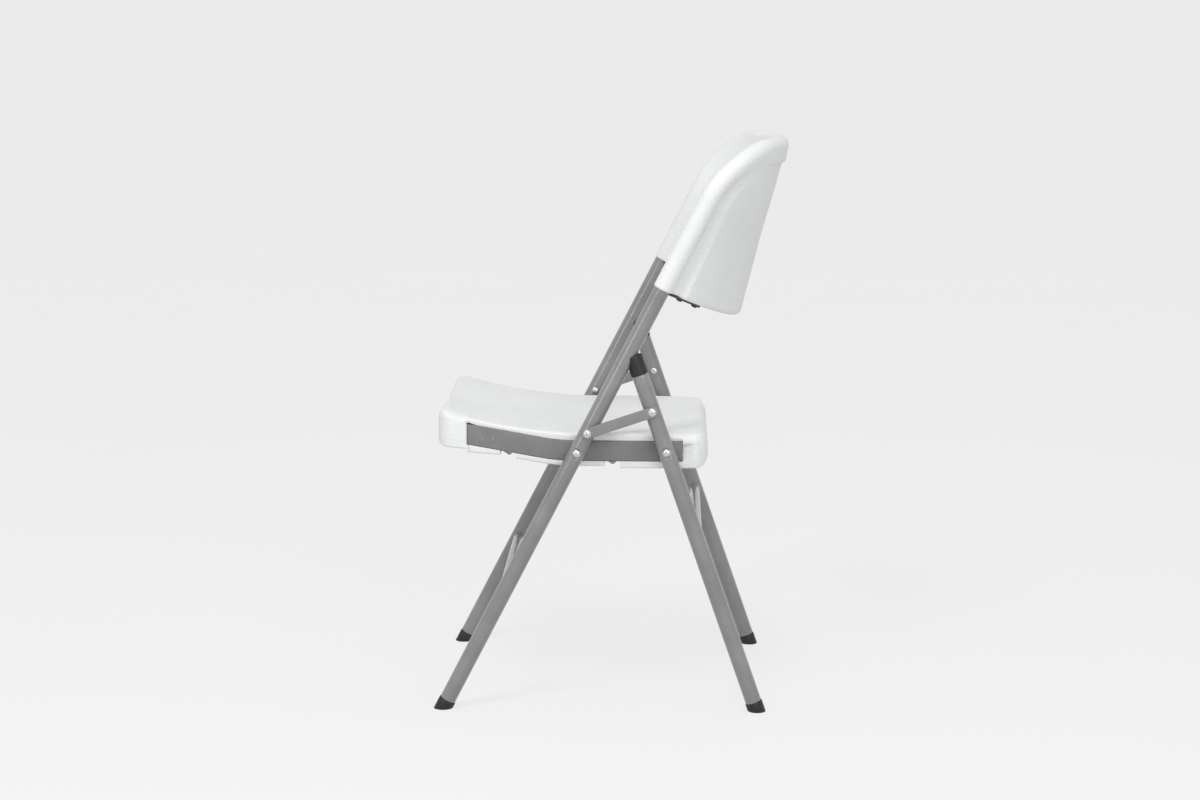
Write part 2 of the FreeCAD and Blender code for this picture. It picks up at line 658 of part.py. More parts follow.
# Cross rods: round bars welded under the rails, with a small flat where they meet them.
def cross_rod(name, rod_y, rod_z, under, tip):
    bar = rod(f"{name}_bar", "sizes.rod_radius", "2 * sizes.rail_face - 2 * sizes.rail_sheet",
              ("-sizes.rail_face + sizes.rail_sheet", rod_y, rod_z), ALONG_X)
    half = "sizes.rod_diameter"
    flat = solid("Box", f"{name}_flat", {"Length": "2 * sizes.rail_depth", "Width": f"2 * {half}",
                                            "Height": half},
                 turn=FreeCAD.Rotation(X_AXIS, 1))
    flat.setExpression("Placement.Rotation.Angle", f"({tip}) * 1 deg")
    flat.setExpression("Placement.Base.x", "sizes.rail_back")
    flat.setExpression("Placement.Base.y", f"{rod_y} - {half} * cos({tip})")
    flat.setExpression("Placement.Base.z", f"{under} - {half} * sin({tip})")
    return cut(name, bar, flat, mirror(f"{name}_flat_twin", flat))


RODS = {
    "front": ("sizes.front_rod_y", "sizes.front_rod_z", "sizes.rail_front_low", "-sizes.rail_rise_angle"),
    "rear": ("sizes.rear_rod_y", "sizes.rear_rod_z", "sizes.rail_low", "0"),
}
for end, (rod_y, rod_z, under, tip) in RODS.items():
    keep_node(f"{end}_cross_rod", place(cross_rod(f"{end}_rod", rod_y, rod_z, under, tip), "seat"))


# Rod clips: bent steel straps that hold the seat panel on the cross rods, two screws each.
def rod_clip(name):
    body = new_body(name)
    inside, outside, reach = "sizes.clip_inside", "sizes.clip_outside", "sizes.clip_reach"
    up, shelf = "sizes.clip_up", "sizes.clip_up - sizes.clip_sheet"
    outline = trace(sketch_on(body, f"{name}_outline", "YZ_Plane"), [
        (f"-{reach}", up),
        (f"-{reach}", shelf),
        (f"-{outside}", shelf),
        (f"-{outside}", "0"),
        (outside, "0", "0", "0", 1),
        (outside, shelf),
        (reach, shelf),
        (reach, up),
        (inside, up),
        (inside, "0"),
        (f"-{inside}", "0", "0", "0", -1),
        (f"-{inside}", up),
    ])
    pad(body, f"{name}_strap", outline, "sizes.clip_width", symmetric=True)
    holes = sketch_on(body, f"{name}_holes", "XY_Plane", f"{shelf} - sizes.clip_sheet")
    for side in ("-", ""):
        middle = f"{side}({outside} + sizes.clip_tab / 2)"
        round_hole(holes, "0", middle, "sizes.screw_shank / 2 + sizes.fit_clearance")
    pocket(body, f"{name}_bores", holes, "3 * sizes.clip_sheet", reverse=True)
    return body


def screw(name):
    """Pan-head screw along +Z, its head below the origin and its shank above."""
    body = new_body(name)
    head, shank = "sizes.screw_head_diameter / 2", "sizes.screw_shank / 2"
    high = "sizes.screw_head_height"
    dome = f"(({head})^2 + {high}^2) / (2 * {high})"
    profile = trace(sketch_on(body, f"{name}_profile", "XZ_Plane"), [
        ("0", f"-{high}"),
        (head, "0", "0", f"{dome} - {high}", 1),
        (shank, "0"),
        (shank, "sizes.screw_length - sizes.screw_shank"),
        ("0", "sizes.screw_length"),
    ])
    turned = body.newObject("PartDesign::Revolution", f"{name}_turned")
    turned.Profile = profile
    turned.ReferenceAxis = (profile, ["V_Axis"])
    turned.Angle = 360
    return body


clips = []
clip_screws = []
for end, (rod_y, rod_z, under, tip) in RODS.items():
    clips.append(place(rod_clip(f"{end}_clip"), "seat", ("sizes.clip_offset", rod_y, rod_z), tip))
    for side in (-1, 1):
        along = f"{side} * (sizes.clip_outside + sizes.clip_tab / 2)"
        below = "(sizes.clip_up - sizes.clip_sheet)"
        back = f"{rod_y} + {along} * cos({tip}) - {below} * sin({tip})"
        up = f"{rod_z} + {along} * sin({tip}) + {below} * cos({tip})"
        name = f"{end}_clip_screw_{'front' if side < 0 else 'rear'}"
        clip_screws.append(place(screw(name), "seat", ("sizes.clip_offset", back, up), tip))
keep_group("rod_clips", *clips)
keep_group("rod_clip_screws", *clip_screws)


# Seat panel: blow-moulded, dished and swept up at the front, with pads below and side pockets for the rails.
seat = new_body("seat_moulding")


def seat_section(name, offset, dish, front_dish):
    """Side outline of the seat at a distance from the middle, its top lowered by the dish."""
    top = f"(sizes.seat_top - {dish})"
    rise = f"(sizes.seat_front_rise + {dish} - {front_dish})"
    sweep = f"(sizes.seat_sweep^2 + {rise}^2) / (2 * {rise})"
    bend_y = "-sizes.slab_bend * sin(sizes.rail_rise_angle)"
    bend_z = "sizes.rail_middle_z - sizes.slab_bend * cos(sizes.rail_rise_angle)"
    slope = "tan(sizes.rail_rise_angle)"
    return trace(sketch_on(seat, name, "YZ_Plane", offset), [
        ("sizes.seat_rear", "sizes.slab_low"),
        ("sizes.seat_rear", top),
        ("sizes.seat_flat_start", top),
        ("sizes.seat_front", f"{top} + {rise}", "sizes.seat_flat_start", f"{top} + {sweep}", -1),
        ("sizes.seat_front", "sizes.seat_nose_bottom"),
        ("sizes.seat_nose_back", "sizes.seat_nose_bottom"),
        ("sizes.seat_nose_back", f"{bend_z} + ({bend_y} - sizes.seat_nose_back) * {slope}"),
        (bend_y, bend_z),
        ("0", "sizes.slab_low", "0", "sizes.rail_middle_z", 1),
    ])


seat_slab = loft(seat, "seat_slab", [
    seat_section("seat_right_side", "-sizes.seat_half_width", "0", "0"),
    seat_section("seat_middle", "0", "sizes.seat_dish", "sizes.seat_front_dish"),
    seat_section("seat_left_side", "sizes.seat_half_width", "0", "0"),
])


def panel_plan(sketch, half_width, ends):
    """Panel outline seen from above: ends is ((front, corner radius), (rear, corner radius))."""
    (front, front_corner), (rear, rear_corner) = ends
    steps = []
    for limit, radius, sign in ((front, front_corner, 1), (rear, rear_corner, -1)):
        near = f"{half_width} - {radius}"
        inset = f"{limit} + {sign} * {radius}"
        first, last = ("-", "") if sign > 0 else ("", "-")
        steps.append((f"{first}({half_width})", inset))
        steps.append((f"{first}({near})", limit, f"{first}({near})", inset, 1))
        steps.append((f"{last}({near})", limit))
        steps.append((f"{last}({half_width})", inset, f"{last}({near})", inset, 1))
    return trace(sketch, steps)


def soften(name, base, keep, radius):
    """Fillet the edges of a solid for which keep(edge) is true."""
    doc.recompute()
    size = number(radius)
    feature = doc.addObject("Part::Fillet", name)
    feature.Base = base
    feature.Edges = [(i, size, size) for i, edge in enumerate(base.Shape.Edges, start=1) if keep(edge)]
    return feature


seat_plan = new_body("seat_plan")
plan_outline = panel_plan(sketch_on(seat_plan, "seat_plan_outline", "XY_Plane"), "sizes.seat_half_width",
                          (("sizes.seat_front", "sizes.seat_front_corner"),
                           ("sizes.seat_rear", "sizes.seat_rear_corner")))
pad(seat_plan, "seat_plan_block", plan_outline, "2 * sizes.seat_half_width", symmetric=True)
seat_blank = doc.addObject("Part::Common", "seat_blank")
seat_blank.Base = seat
seat_blank.Tool = seat_plan
doc.recompute()
top_rounded = soften("seat_top_rounded", seat_blank,
                     rim_of(seat_blank.Shape, facing(seat_blank.Shape, Z_AXIS)), "sizes.seat_top_round")
PADS = {
    "front_pad": ("sizes.seat_nose_back", "sizes.front_rod_y - sizes.groove_width / 2",
                  "sizes.pad_front_low", "sizes.pad_front_low"),
    "middle_pad": ("sizes.front_rod_y + sizes.groove_width / 2", "sizes.rear_rod_y - sizes.groove_width / 2",
                   "sizes.pad_middle_low_front", "sizes.pad_middle_low_rear"),
    "rear_pad": ("sizes.rear_rod_y + sizes.groove_width / 2", "sizes.pad_rear_end",
                 "sizes.pad_rear_low", "sizes.pad_rear_low"),
}
pads = []
for name, (front, rear, front_low, rear_low) in PADS.items():
    pad_body = new_body(name)
    outline = trace(sketch_on(pad_body, f"{name}_outline", "YZ_Plane"), [
        (front, front_low),
        (rear, rear_low),
        (rear, "sizes.pad_root"),
        (front, "sizes.pad_root"),
    ])
    block = pad(pad_body, f"{name}_block", outline, "2 * sizes.pad_half_width", symmetric=True)
    if name == "rear_pad":
        pad_rear = number("sizes.pad_rear_end")
        block = round_edges(pad_body, f"{name}_cornered", block,
                            lambda edge: edge.BoundBox.YMin > pad_rear - 0.1 and edge.BoundBox.XLength < 0.1,
                            "sizes.pad_rear_corner")
    doc.recompute()
    round_edges(pad_body, f"{name}_rounded", block, rim_of(block.Shape, facing(block.Shape, -Z_AXIS)),
                "sizes.pad_round")
    pads.append(pad_body)
seat_padded = fuse("seat_padded", top_rounded, *pads)

rail_pocket = new_body("rail_pocket")
pad(rail_pocket, "rail_pocket_room",
    rail_outline(sketch_on(rail_pocket, "rail_pocket_outline", "YZ_Plane",
                           "sizes.rail_back - sizes.rail_pocket_clearance"),
                 "sizes.seat_nose_back", "sizes.seat_pocket_rear", "sizes.rail_pocket_clearance"),
    "sizes.seat_half_width")
hollows = [rail_pocket]
for end, (rod_y, rod_z, under, tip) in RODS.items():
    hollows.append(rod(f"{end}_rod_trough", "sizes.rod_radius + sizes.body_clearance",
                       "sizes.seat_half_width",
                       ("0", rod_y, rod_z), ALONG_X))
    room = solid("Box", f"{end}_clip_room", {
        "Length": "sizes.clip_width + 2 * sizes.clip_room",
        "Width": "2 * (sizes.clip_reach + sizes.clip_room)",
        "Height": "2 * sizes.spacer_diameter"}, turn=FreeCAD.Rotation(X_AXIS, 1))
    deep = "(sizes.clip_up - 2 * sizes.spacer_diameter)"
    room_half = "(sizes.clip_reach + sizes.clip_room)"
    room.setExpression("Placement.Rotation.Angle", f"({tip}) * 1 deg")
    room.setExpression("Placement.Base.x", "sizes.clip_offset - sizes.clip_width / 2 - sizes.clip_room")
    room.setExpression("Placement.Base.y", f"{rod_y} - {room_half} * cos({tip}) - {deep} * sin({tip})")
    room.setExpression("Placement.Base.z", f"{rod_z} - {room_half} * sin({tip}) + {deep} * cos({tip})")
    hollows.append(room)
    for side in (-1, 1):
        along = f"{side} * (sizes.clip_outside + sizes.clip_tab / 2)"
        bore = rod(f"{end}_clip_bore_{side + 1}", "sizes.screw_shank / 2 + sizes.fit_clearance",
                   "sizes.clip_up + sizes.screw_length",
                   ("sizes.clip_offset", "0", "0"), FreeCAD.Rotation(X_AXIS, 1))
        bore.setExpression("Placement.Rotation.Angle", f"({tip}) * 1 deg")
        bore.setExpression("Placement.Base.y", f"{rod_y} + {along} * cos({tip})")
        bore.setExpression("Placement.Base.z", f"{rod_z} + {along} * sin({tip})")
        hollows.append(bore)
hollow_half = fuse("seat_hollows", *hollows)
seat_panel = cut("seat_panel_cut", seat_padded, hollow_half, mirror("seat_hollows_twin", hollow_half))
keep_node("seat_panel", place(seat_panel, "seat"))


# Backrest: blow-moulded panel bowed rearward, with a rolled rim on each side that sleeves the front tube.
back = new_body("back_moulding")


def bow(name, along, rear_y):
    """Level section of the panel: two arcs from side to side, joined by short edges."""
    front_y = f"({rear_y} - sizes.back_thickness)"
    edge_x, edge_y = "sizes.back_edge_x", "sizes.back_edge_y"
    inner_x, inner_y = f"{edge_x} - sizes.back_edge_thickness", f"({edge_y} - sizes.back_edge_thickness)"
    front_bow = f"(({inner_x})^2 + ({front_y} - {inner_y})^2) / (2 * ({front_y} - {inner_y}))"
    rear_bow = f"({edge_x}^2 + ({rear_y} - {edge_y})^2) / (2 * ({rear_y} - {edge_y}))"
    return trace(sketch_on(back, name, "XY_Plane", along), [
        (f"-({inner_x})", inner_y),
        (inner_x, inner_y, "0", f"{front_y} - {front_bow}", -1),
        (edge_x, edge_y),
        (f"-{edge_x}", edge_y, "0", f"{rear_y} - {rear_bow}", 1),
    ])


back_panel = loft(back, "back_panel", [
    bow("bow_bottom", "sizes.back_bottom", "sizes.back_bow_bottom"),
    bow("bow_middle", "sizes.back_middle", "sizes.back_bow_middle"),
    bow("bow_top", "sizes.back_top + sizes.back_spare", "sizes.back_bow_top"),
])
back_outline = trace(sketch_on(back, "back_outline", "XZ_Plane"), [
    ("sizes.back_half_width", "sizes.corner_z"),
    ("sizes.crown_end_x", "sizes.crown_end_z", "sizes.corner_x", "sizes.corner_z", 1),
    ("-sizes.crown_end_x", "sizes.crown_end_z", "0", "sizes.crown_z", 1),
    ("-sizes.back_half_width", "sizes.corner_z", "-sizes.corner_x", "sizes.corner_z", 1),
    ("-sizes.back_half_width - sizes.back_spare", "sizes.corner_z"),
    ("-sizes.back_half_width - sizes.back_spare", "sizes.back_top + 2 * sizes.back_spare"),
    ("sizes.back_half_width + sizes.back_spare", "sizes.back_top + 2 * sizes.back_spare"),
    ("sizes.back_half_width + sizes.back_spare", "sizes.corner_z"),
])
back_crowned = pocket(back, "back_crowned", back_outline, "8 * sizes.back_bow_bottom", symmetric=True)
doc.recompute()
back_shape = back_crowned.Shape
edge_faces = [face for face in back_shape.Faces if face.BoundBox.ZMin > number("sizes.corner_z") - 0.1]
back_rounded = round_edges(back, "back_rounded", back_crowned, rim_of(back_shape, edge_faces),
                           "sizes.back_round")
doc.recompute()
foot_rounded = round_edges(back, "back_foot_rounded", back_rounded,
                           lambda edge: edge.BoundBox.ZMax < number("sizes.back_bottom") + 0.1
                           and edge.Length > number("sizes.half_track"), "sizes.back_foot_round")
sleeve = rod("back_sleeve", "sizes.sleeve_radius", "sizes.sleeve_top - sizes.back_bottom",
             ("sizes.half_track", "0", "sizes.back_bottom"))
dome = solid("Ellipsoid", "back_sleeve_dome",
             {"Radius1": "sizes.sleeve_dome", "Radius2": "sizes.sleeve_radius",
              "Radius3": "sizes.sleeve_radius"},
             ("sizes.half_track", "0", "sizes.sleeve_top"))
back_solid = fuse("back_solid", back, sleeve, dome, mirror("back_sleeve_twin", sleeve),
                  mirror("back_dome_twin", dome))
back_tube = rod("back_tube_socket", "sizes.tube_radius + sizes.fit_clearance",
                "sizes.front_tube_top + sizes.fit_clearance - sizes.back_bottom",
                ("sizes.half_track", "0", "sizes.back_bottom"))
SCREW_SHARES = ("sizes.bracket_near_share", "1")
screw_spots = [(f"sizes.half_track - {share} * sizes.bracket_run", f"{share} * sizes.bracket_end_y")
               for share in SCREW_SHARES]
back_bores = [rod(f"back_bore_{i}", "sizes.screw_shank / 2 + sizes.fit_clearance",
                  "sizes.screw_length + sizes.fit_clearance",
                  (*spot, "sizes.back_bottom - sizes.bracket_sheet"))
              for i, spot in enumerate(screw_spots)]
back_hollow = fuse("back_hollow", back_tube, *back_bores)
backrest = cut("backrest_cut", back_solid, back_hollow, mirror("back_hollow_twin", back_hollow))
keep_node("backrest", place(backrest, "front"))


# Back brackets: steel tabs welded to the front tubes, screwed up into the backrest's lower edge.
under_back = "sizes.back_bottom - sizes.bracket_sheet"
tab = solid("Box", "bracket_tab", {"Length": "sizes.bracket_length", "Width": "sizes.bracket_width",
                                   "Height": "sizes.bracket_sheet"}, turn=FreeCAD.Rotation(Z_AXIS, 1))
tab.setExpression("Placement.Rotation.Angle", "sizes.bracket_turn * 1 deg")
tab.setExpression("Placement.Base.x", "sizes.half_track + sizes.bracket_width / 2 * sin(sizes.bracket_turn)")
tab.setExpression("Placement.Base.y", "-sizes.bracket_width / 2 * cos(sizes.bracket_turn)")
tab.setExpression("Placement.Base.z", under_back)
tab_end = rod("bracket_end", "sizes.bracket_width / 2", "sizes.bracket_sheet",
              ("sizes.bracket_end_x", "sizes.bracket_end_y", under_back))
tab_tube = rod("bracket_tube", "sizes.tube_radius", "2 * sizes.tube_diameter",
               ("sizes.half_track", "0", "sizes.back_bottom - sizes.tube_diameter"))
tab_holes = [rod(f"bracket_hole_{i}", "sizes.screw_shank / 2 + sizes.fit_clearance", "sizes.bracket_sheet",
                 (*spot, under_back)) for i, spot in enumerate(screw_spots)]
bracket = cut("back_bracket", fuse("bracket_blank", tab, tab_end), tab_tube, *tab_holes)
keep_pair("back_bracket", place(bracket, "front"))
keep_group("back_screws", *(place(screw(f"back_screw_{i}"), "front", (*spot, under_back))
                            for i, spot in enumerate(screw_spots)))

doc.recompute()
faults = [item.Label for item in doc.Objects if "Invalid" in item.State or "Error" in item.State]
faults += [node for node, piece in NODES.items() if piece.Shape.isNull() or not piece.Shape.isValid()]
if faults:
    raise RuntimeError(f"pieces that did not build: {faults}")

os.makedirs("parts", exist_ok=True)
for node, piece in NODES.items():
    piece.Shape.exportStep(f"parts/{node}.step")
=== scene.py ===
import json
import bmesh
import bpy
import numpy as np
from mathutils import Matrix, Vector


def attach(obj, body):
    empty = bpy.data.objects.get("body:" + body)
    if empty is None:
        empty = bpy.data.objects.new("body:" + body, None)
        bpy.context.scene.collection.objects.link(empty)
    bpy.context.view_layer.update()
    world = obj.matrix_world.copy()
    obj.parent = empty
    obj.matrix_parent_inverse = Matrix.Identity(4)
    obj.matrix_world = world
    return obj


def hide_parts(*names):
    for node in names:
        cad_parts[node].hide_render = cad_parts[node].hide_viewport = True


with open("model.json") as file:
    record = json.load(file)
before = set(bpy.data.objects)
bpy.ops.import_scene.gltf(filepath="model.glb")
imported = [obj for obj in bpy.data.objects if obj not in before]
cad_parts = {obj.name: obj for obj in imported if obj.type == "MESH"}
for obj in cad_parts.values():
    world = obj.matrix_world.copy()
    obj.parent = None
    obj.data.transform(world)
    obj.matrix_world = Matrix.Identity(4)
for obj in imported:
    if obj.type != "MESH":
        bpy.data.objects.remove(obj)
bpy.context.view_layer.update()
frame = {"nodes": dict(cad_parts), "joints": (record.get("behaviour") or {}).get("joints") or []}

# Front tubes: straight 25 mm round steel tube in grey semi-gloss powder coat, from the feet up into the
# backrest. Each is pressed flat on its outside, where the seat rivet's head sinks in.
MILLIMETRE = 0.001
FRONT_TILT = np.radians(27.1)
FRONT_FOOT_Y = -261.4
HALF_TRACK = 212.5
TUBE_RADIUS = 12.5
TUBE_CHAMFER, TUBE_TOP_BREAK = 0.6, 1.0
FOOT_HEIGHT = 16.0
FRONT_TUBE_TOP = 890.0
SEAT_PIVOT_ALONG = 454.5
DIMPLE_RADIUS, DIMPLE_DEPTH, DIMPLE_EDGE = 7.75, 2.5, 1.0
PRESSED_REACH, PRESSED_STEP = 10.0, 0.5
PLAIN_START, PLAIN_RINGS = 20.0, 12
TUBE_POINTS = 64
SAME_POINT = 1e-7


def in_front_frame(x, y, along):
    """Points given across, behind the tube plane and along the front tubes (mm), turned by the tubes' lean
    into chair coordinates (m)."""
    x, y, along = np.broadcast_arrays(x, y, along)
    back = FRONT_FOOT_Y + y * np.cos(FRONT_TILT) + along * np.sin(FRONT_TILT)
    up = along * np.cos(FRONT_TILT) - y * np.sin(FRONT_TILT)
    return np.stack([x, back, up], axis=-1) * MILLIMETRE


def full_turn(points):
    """Angles of equally spaced points once round a circle."""
    return np.linspace(0, 2 * np.pi, points, endpoint=False)


def grid_faces(rows, columns, around=True):
    """Quads of a grid of points, whose last column joins the first where it goes around."""
    steps = columns if around else columns - 1
    row, column = np.meshgrid(np.arange(rows - 1), np.arange(steps), indexing="ij")
    here = row * columns + column
    beside = row * columns + (column + 1) % columns
    corners = [here, beside, beside + columns, here + columns]
    return np.stack(corners, axis=-1).reshape(-1, 4).tolist()


def closed_skin(rings):
    """Vertices and faces of a stack of closed rings, shut at both ends by a fan to the ring's middle."""
    rows, columns = rings.shape[:2]
    points = np.concatenate([rings.reshape(-1, 3), rings[:1].mean(axis=1), rings[-1:].mean(axis=1)])
    first_middle = np.full(columns, rows * columns)
    last_ring = (rows - 1) * columns
    here = np.arange(columns)
    beside = (here + 1) % columns
    first_fan = np.stack([first_middle, beside, here], axis=-1)
    last_fan = np.stack([first_middle + 1, last_ring + here, last_ring + beside], axis=-1)
    return points, grid_faces(rows, columns) + first_fan.tolist() + last_fan.tolist()


def mirrored(skin):
    """The right-hand twin of a left-hand skin: every point with its place across changed in sign."""
    points, faces = skin
    return points * (-1, 1, 1), faces


def add_piece(name, skins, body, finish, nodes, crease=40):
    """One object made of closed skins, facing outwards, smooth except where faces meet at more than the
    crease angle. It rides on a body and stands for the nodes."""
    mesh = bpy.data.meshes.new(name)
    joined = bmesh.new()
    for points, faces in skins:
        mesh.clear_geometry()
        mesh.from_pydata(points.tolist(), [], faces)
        joined.from_mesh(mesh)
    bmesh.ops.remove_doubles(joined, verts=joined.verts, dist=SAME_POINT)
    bmesh.ops.recalc_face_normals(joined, faces=joined.faces)
    joined.to_mesh(mesh)
    joined.free()
    mesh.shade_smooth()
    mesh.set_sharp_from_angle(angle=np.radians(crease))
    mesh.materials.append(finish.material)
    piece = bpy.data.objects.new(name, mesh)
    bpy.context.scene.collection.objects.link(piece)
    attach(piece, body)
    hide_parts(*nodes)


def add_pair(stem, skin, body, finish):
    """Left and right pieces that stand for the nodes of the same names."""
    for hand, side in (("left", skin), ("right", mirrored(skin))):
        add_piece(f"{hand}_{stem}_skin", [side], body, finish, [f"{hand}_{stem}"])


class Wire:
    """A shader value that can be written in sums and products: each operator adds a Math node."""

    def __init__(self, nodes, socket):
        self.nodes = nodes
        self.socket = socket

    def math(self, operation, other):
        """A Math node of this value and another."""
        return self.nodes.node("ShaderNodeMath", {"operation": operation}, {0: self, 1: other})

    def __add__(self, other):
        return self.math("ADD", other)

    __radd__ = __add__

    def __mul__(self, other):
        return self.math("MULTIPLY", other)

    __rmul__ = __mul__

    def above(self, edge, width):
        """0 below an edge value, 1 above it, with a soft step."""
        settings = {"interpolation_type": "SMOOTHSTEP"}
        limits = {0: self, 1: edge - width, 2: edge + width}
        return self.nodes.node("ShaderNodeMapRange", settings, limits)


class Nodes:
    """The nodes of a finish or of the room's light."""

    def __init__(self, tree):
        self.tree = tree

    def node(self, kind, settings, inputs, output=0):
        """Add a node: settings first, then its inputs as numbers, colours or wires."""
        made = self.tree.nodes.new(kind)
        for key, value in settings.items():
            setattr(made, key, value)
        for key, value in inputs.items():
            self.link(made.inputs[key], value)
        return Wire(self, made.outputs[output])

    def link(self, socket, value):
        """Feed a socket from a wire, or set its number or colour."""
        if isinstance(value, Wire):
            self.tree.links.new(value.socket, socket)
        else:
            socket.default_value = value


class Finish(Nodes):
    """A surface finish: one Principled shader and the nodes that feed it."""

    def __init__(self, name, roughness=0.5, metallic=0.0, specular=0.5, coat=0.0, coat_roughness=0.1):
        self.material = bpy.data.materials.new(name)
        self.material.use_nodes = True
        super().__init__(self.material.node_tree)
        self.shader = self.tree.nodes["Principled BSDF"]
        self.place = self.node("ShaderNodeTexCoord", {}, {}, "Object")
        self.feed("Roughness", roughness)
        self.feed("Metallic", metallic)
        self.feed("Specular IOR Level", specular)
        self.feed("Coat Weight", coat)
        self.feed("Coat Roughness", coat_roughness)

    def feed(self, socket, value):
        """Set one of the shader's inputs."""
        self.link(self.shader.inputs[socket], value)

    def noise(self, scale, detail=2.0, roughness=0.5):
        """Cloudy noise from 0 to 1; scale is blobs per metre."""
        inputs = {"Vector": self.place, "Scale": scale, "Detail": detail, "Roughness": roughness}
        return self.node("ShaderNodeTexNoise", {}, inputs, "Fac")

    def mix(self, factor, first, second):
        """Colour between two colours."""
        return self.node("ShaderNodeMix", {"data_type": "RGBA"}, {0: factor, 6: first, 7: second}, 2)

    def bump(self, height, strength, distance):
        """Raise and lower the surface's shading by a height wire."""
        inputs = {"Height": height, "Strength": strength, "Distance": distance}
        self.feed("Normal", self.node("ShaderNodeBump", {}, inputs))


GREY = (0.205, 0.206, 0.206, 1)
GREY_WORN = (0.245, 0.246, 0.246, 1)
grey_coat = Finish("grey_powder_coat", coat=0.7, coat_roughness=0.14)
grey_cloud = grey_coat.noise(scale=18, detail=3)
grey_coat.feed("Base Color", grey_coat.mix(grey_cloud.above(edge=0.55, width=0.2), GREY, GREY_WORN))
grey_coat.feed("Roughness", grey_cloud * 0.12 + 0.27)
grey_coat.bump(grey_coat.noise(scale=900), strength=0.12, distance=0.0004)


def tube_skin(to_chair, start, end, pressed_at):
    """Tube: rings along its axis, close together at the pressed spot. There the outside is held to a flat
    floor within a circle, and eases back to the round outside over the spot's edge."""
    below = np.linspace(start + PLAIN_START, pressed_at - PRESSED_REACH - 1, PLAIN_RINGS)
    pressed = np.arange(pressed_at - PRESSED_REACH, pressed_at + PRESSED_REACH, PRESSED_STEP)
    above = np.linspace(pressed_at + PRESSED_REACH + 1, end - TUBE_TOP_BREAK, PLAIN_RINGS)
    along = np.concatenate([[start, start + TUBE_CHAMFER], below, pressed, above, [end]])[:, None]
    at_end = (along == start) | (along == end)
    radius = np.where(at_end, TUBE_RADIUS - TUBE_CHAMFER, TUBE_RADIUS)
    turn = full_turn(TUBE_POINTS)
    out, y = radius * np.cos(turn), radius * np.sin(turn)
    from_spot = np.hypot(y, along - pressed_at)
    sunk = np.clip((DIMPLE_RADIUS + DIMPLE_EDGE - from_spot) / DIMPLE_EDGE, 0, 1)
    out = np.minimum(out, TUBE_RADIUS - DIMPLE_DEPTH * sunk)
    return closed_skin(to_chair(HALF_TRACK + out, y, along))


front_tube = tube_skin(in_front_frame, FOOT_HEIGHT, FRONT_TUBE_TOP, SEAT_PIVOT_ALONG)
add_pair("front_tube", front_tube, "front_frame", grey_coat)

# Rear tubes: the same steel tube and coat, leaning forward from the rear feet to the black stop caps under
# the front tubes. They are pressed flat in the same way at the rear seat rivets.
FOOT_SPREAD = 486.9
REAR_TILT = np.radians(19.3)
REAR_FOOT_Y = FRONT_FOOT_Y + FOOT_SPREAD
REAR_TUBE_TOP = 563.0
REAR_PIVOT_ALONG = 430.7


def in_rear_frame(x, y, along):
    """Points given across, behind the tube plane and along the rear tubes (mm), turned by the tubes' lean
    into chair coordinates (m)."""
    x, y, along = np.broadcast_arrays(x, y, along)
    back = REAR_FOOT_Y + y * np.cos(REAR_TILT) - along * np.sin(REAR_TILT)
    up = along * np.cos(REAR_TILT) + y * np.sin(REAR_TILT)
    return np.stack([x, back, up], axis=-1) * MILLIMETRE


rear_tube = tube_skin(in_rear_frame, FOOT_HEIGHT, REAR_TUBE_TOP, REAR_PIVOT_ALONG)
add_pair("rear_tube", rear_tube, "rear_frame", grey_coat)

# Feet: black plastic plugs pushed into the lower ends of the tubes. Their collars stand below the tubes and
# are moulded at a slant, so that they lie flat on the floor.
FOOT_RADIUS = 13.3
FOOT_INSET = np.array([2.0, 0.9, 0.25, 0.0, 0.0, 0.3, 1.0])
FOOT_LIFT = np.array([0.0, 0.1, 0.5, 1.2])
FOOT_TOP_DROP = np.array([0.8, 0.2, 0.0])
BLACK = (0.016, 0.016, 0.017, 1)
BLACK_SCUFFED = (0.035, 0.034, 0.033, 1)
black_plastic = Finish("black_plastic", specular=0.4)
scuff = black_plastic.noise(scale=140, detail=4, roughness=0.6)
black_plastic.feed("Base Color", black_plastic.mix(scuff.above(edge=0.6, width=0.12), BLACK, BLACK_SCUFFED))
black_plastic.feed("Roughness", scuff * 0.25 + 0.38)
black_plastic.bump(black_plastic.noise(scale=1500), strength=0.15, distance=0.0003)


def foot_skin(to_chair, tilt):
    """Foot: rings from the floor to the tube's end, drawn in at both edges. The lower rings lie on the floor
    plane, where the height along the tube is the depth times the tangent of the tilt, plus a small lift."""
    turn = full_turn(TUBE_POINTS)
    radius = (FOOT_RADIUS - FOOT_INSET)[:, None]
    y = radius * np.sin(turn)
    floor = y * np.tan(tilt)
    lower = floor[:len(FOOT_LIFT)] + FOOT_LIFT[:, None]
    upper = np.maximum(FOOT_HEIGHT - FOOT_TOP_DROP[:, None], floor[len(FOOT_LIFT):])
    return closed_skin(to_chair(HALF_TRACK + radius * np.cos(turn), y, np.concatenate([lower, upper])))


front_foot = foot_skin(in_front_frame, FRONT_TILT)
rear_foot = foot_skin(in_rear_frame, -REAR_TILT)
add_pair("front_foot", front_foot, "front_frame", black_plastic)
add_pair("rear_foot", rear_foot, "rear_frame", black_plastic)

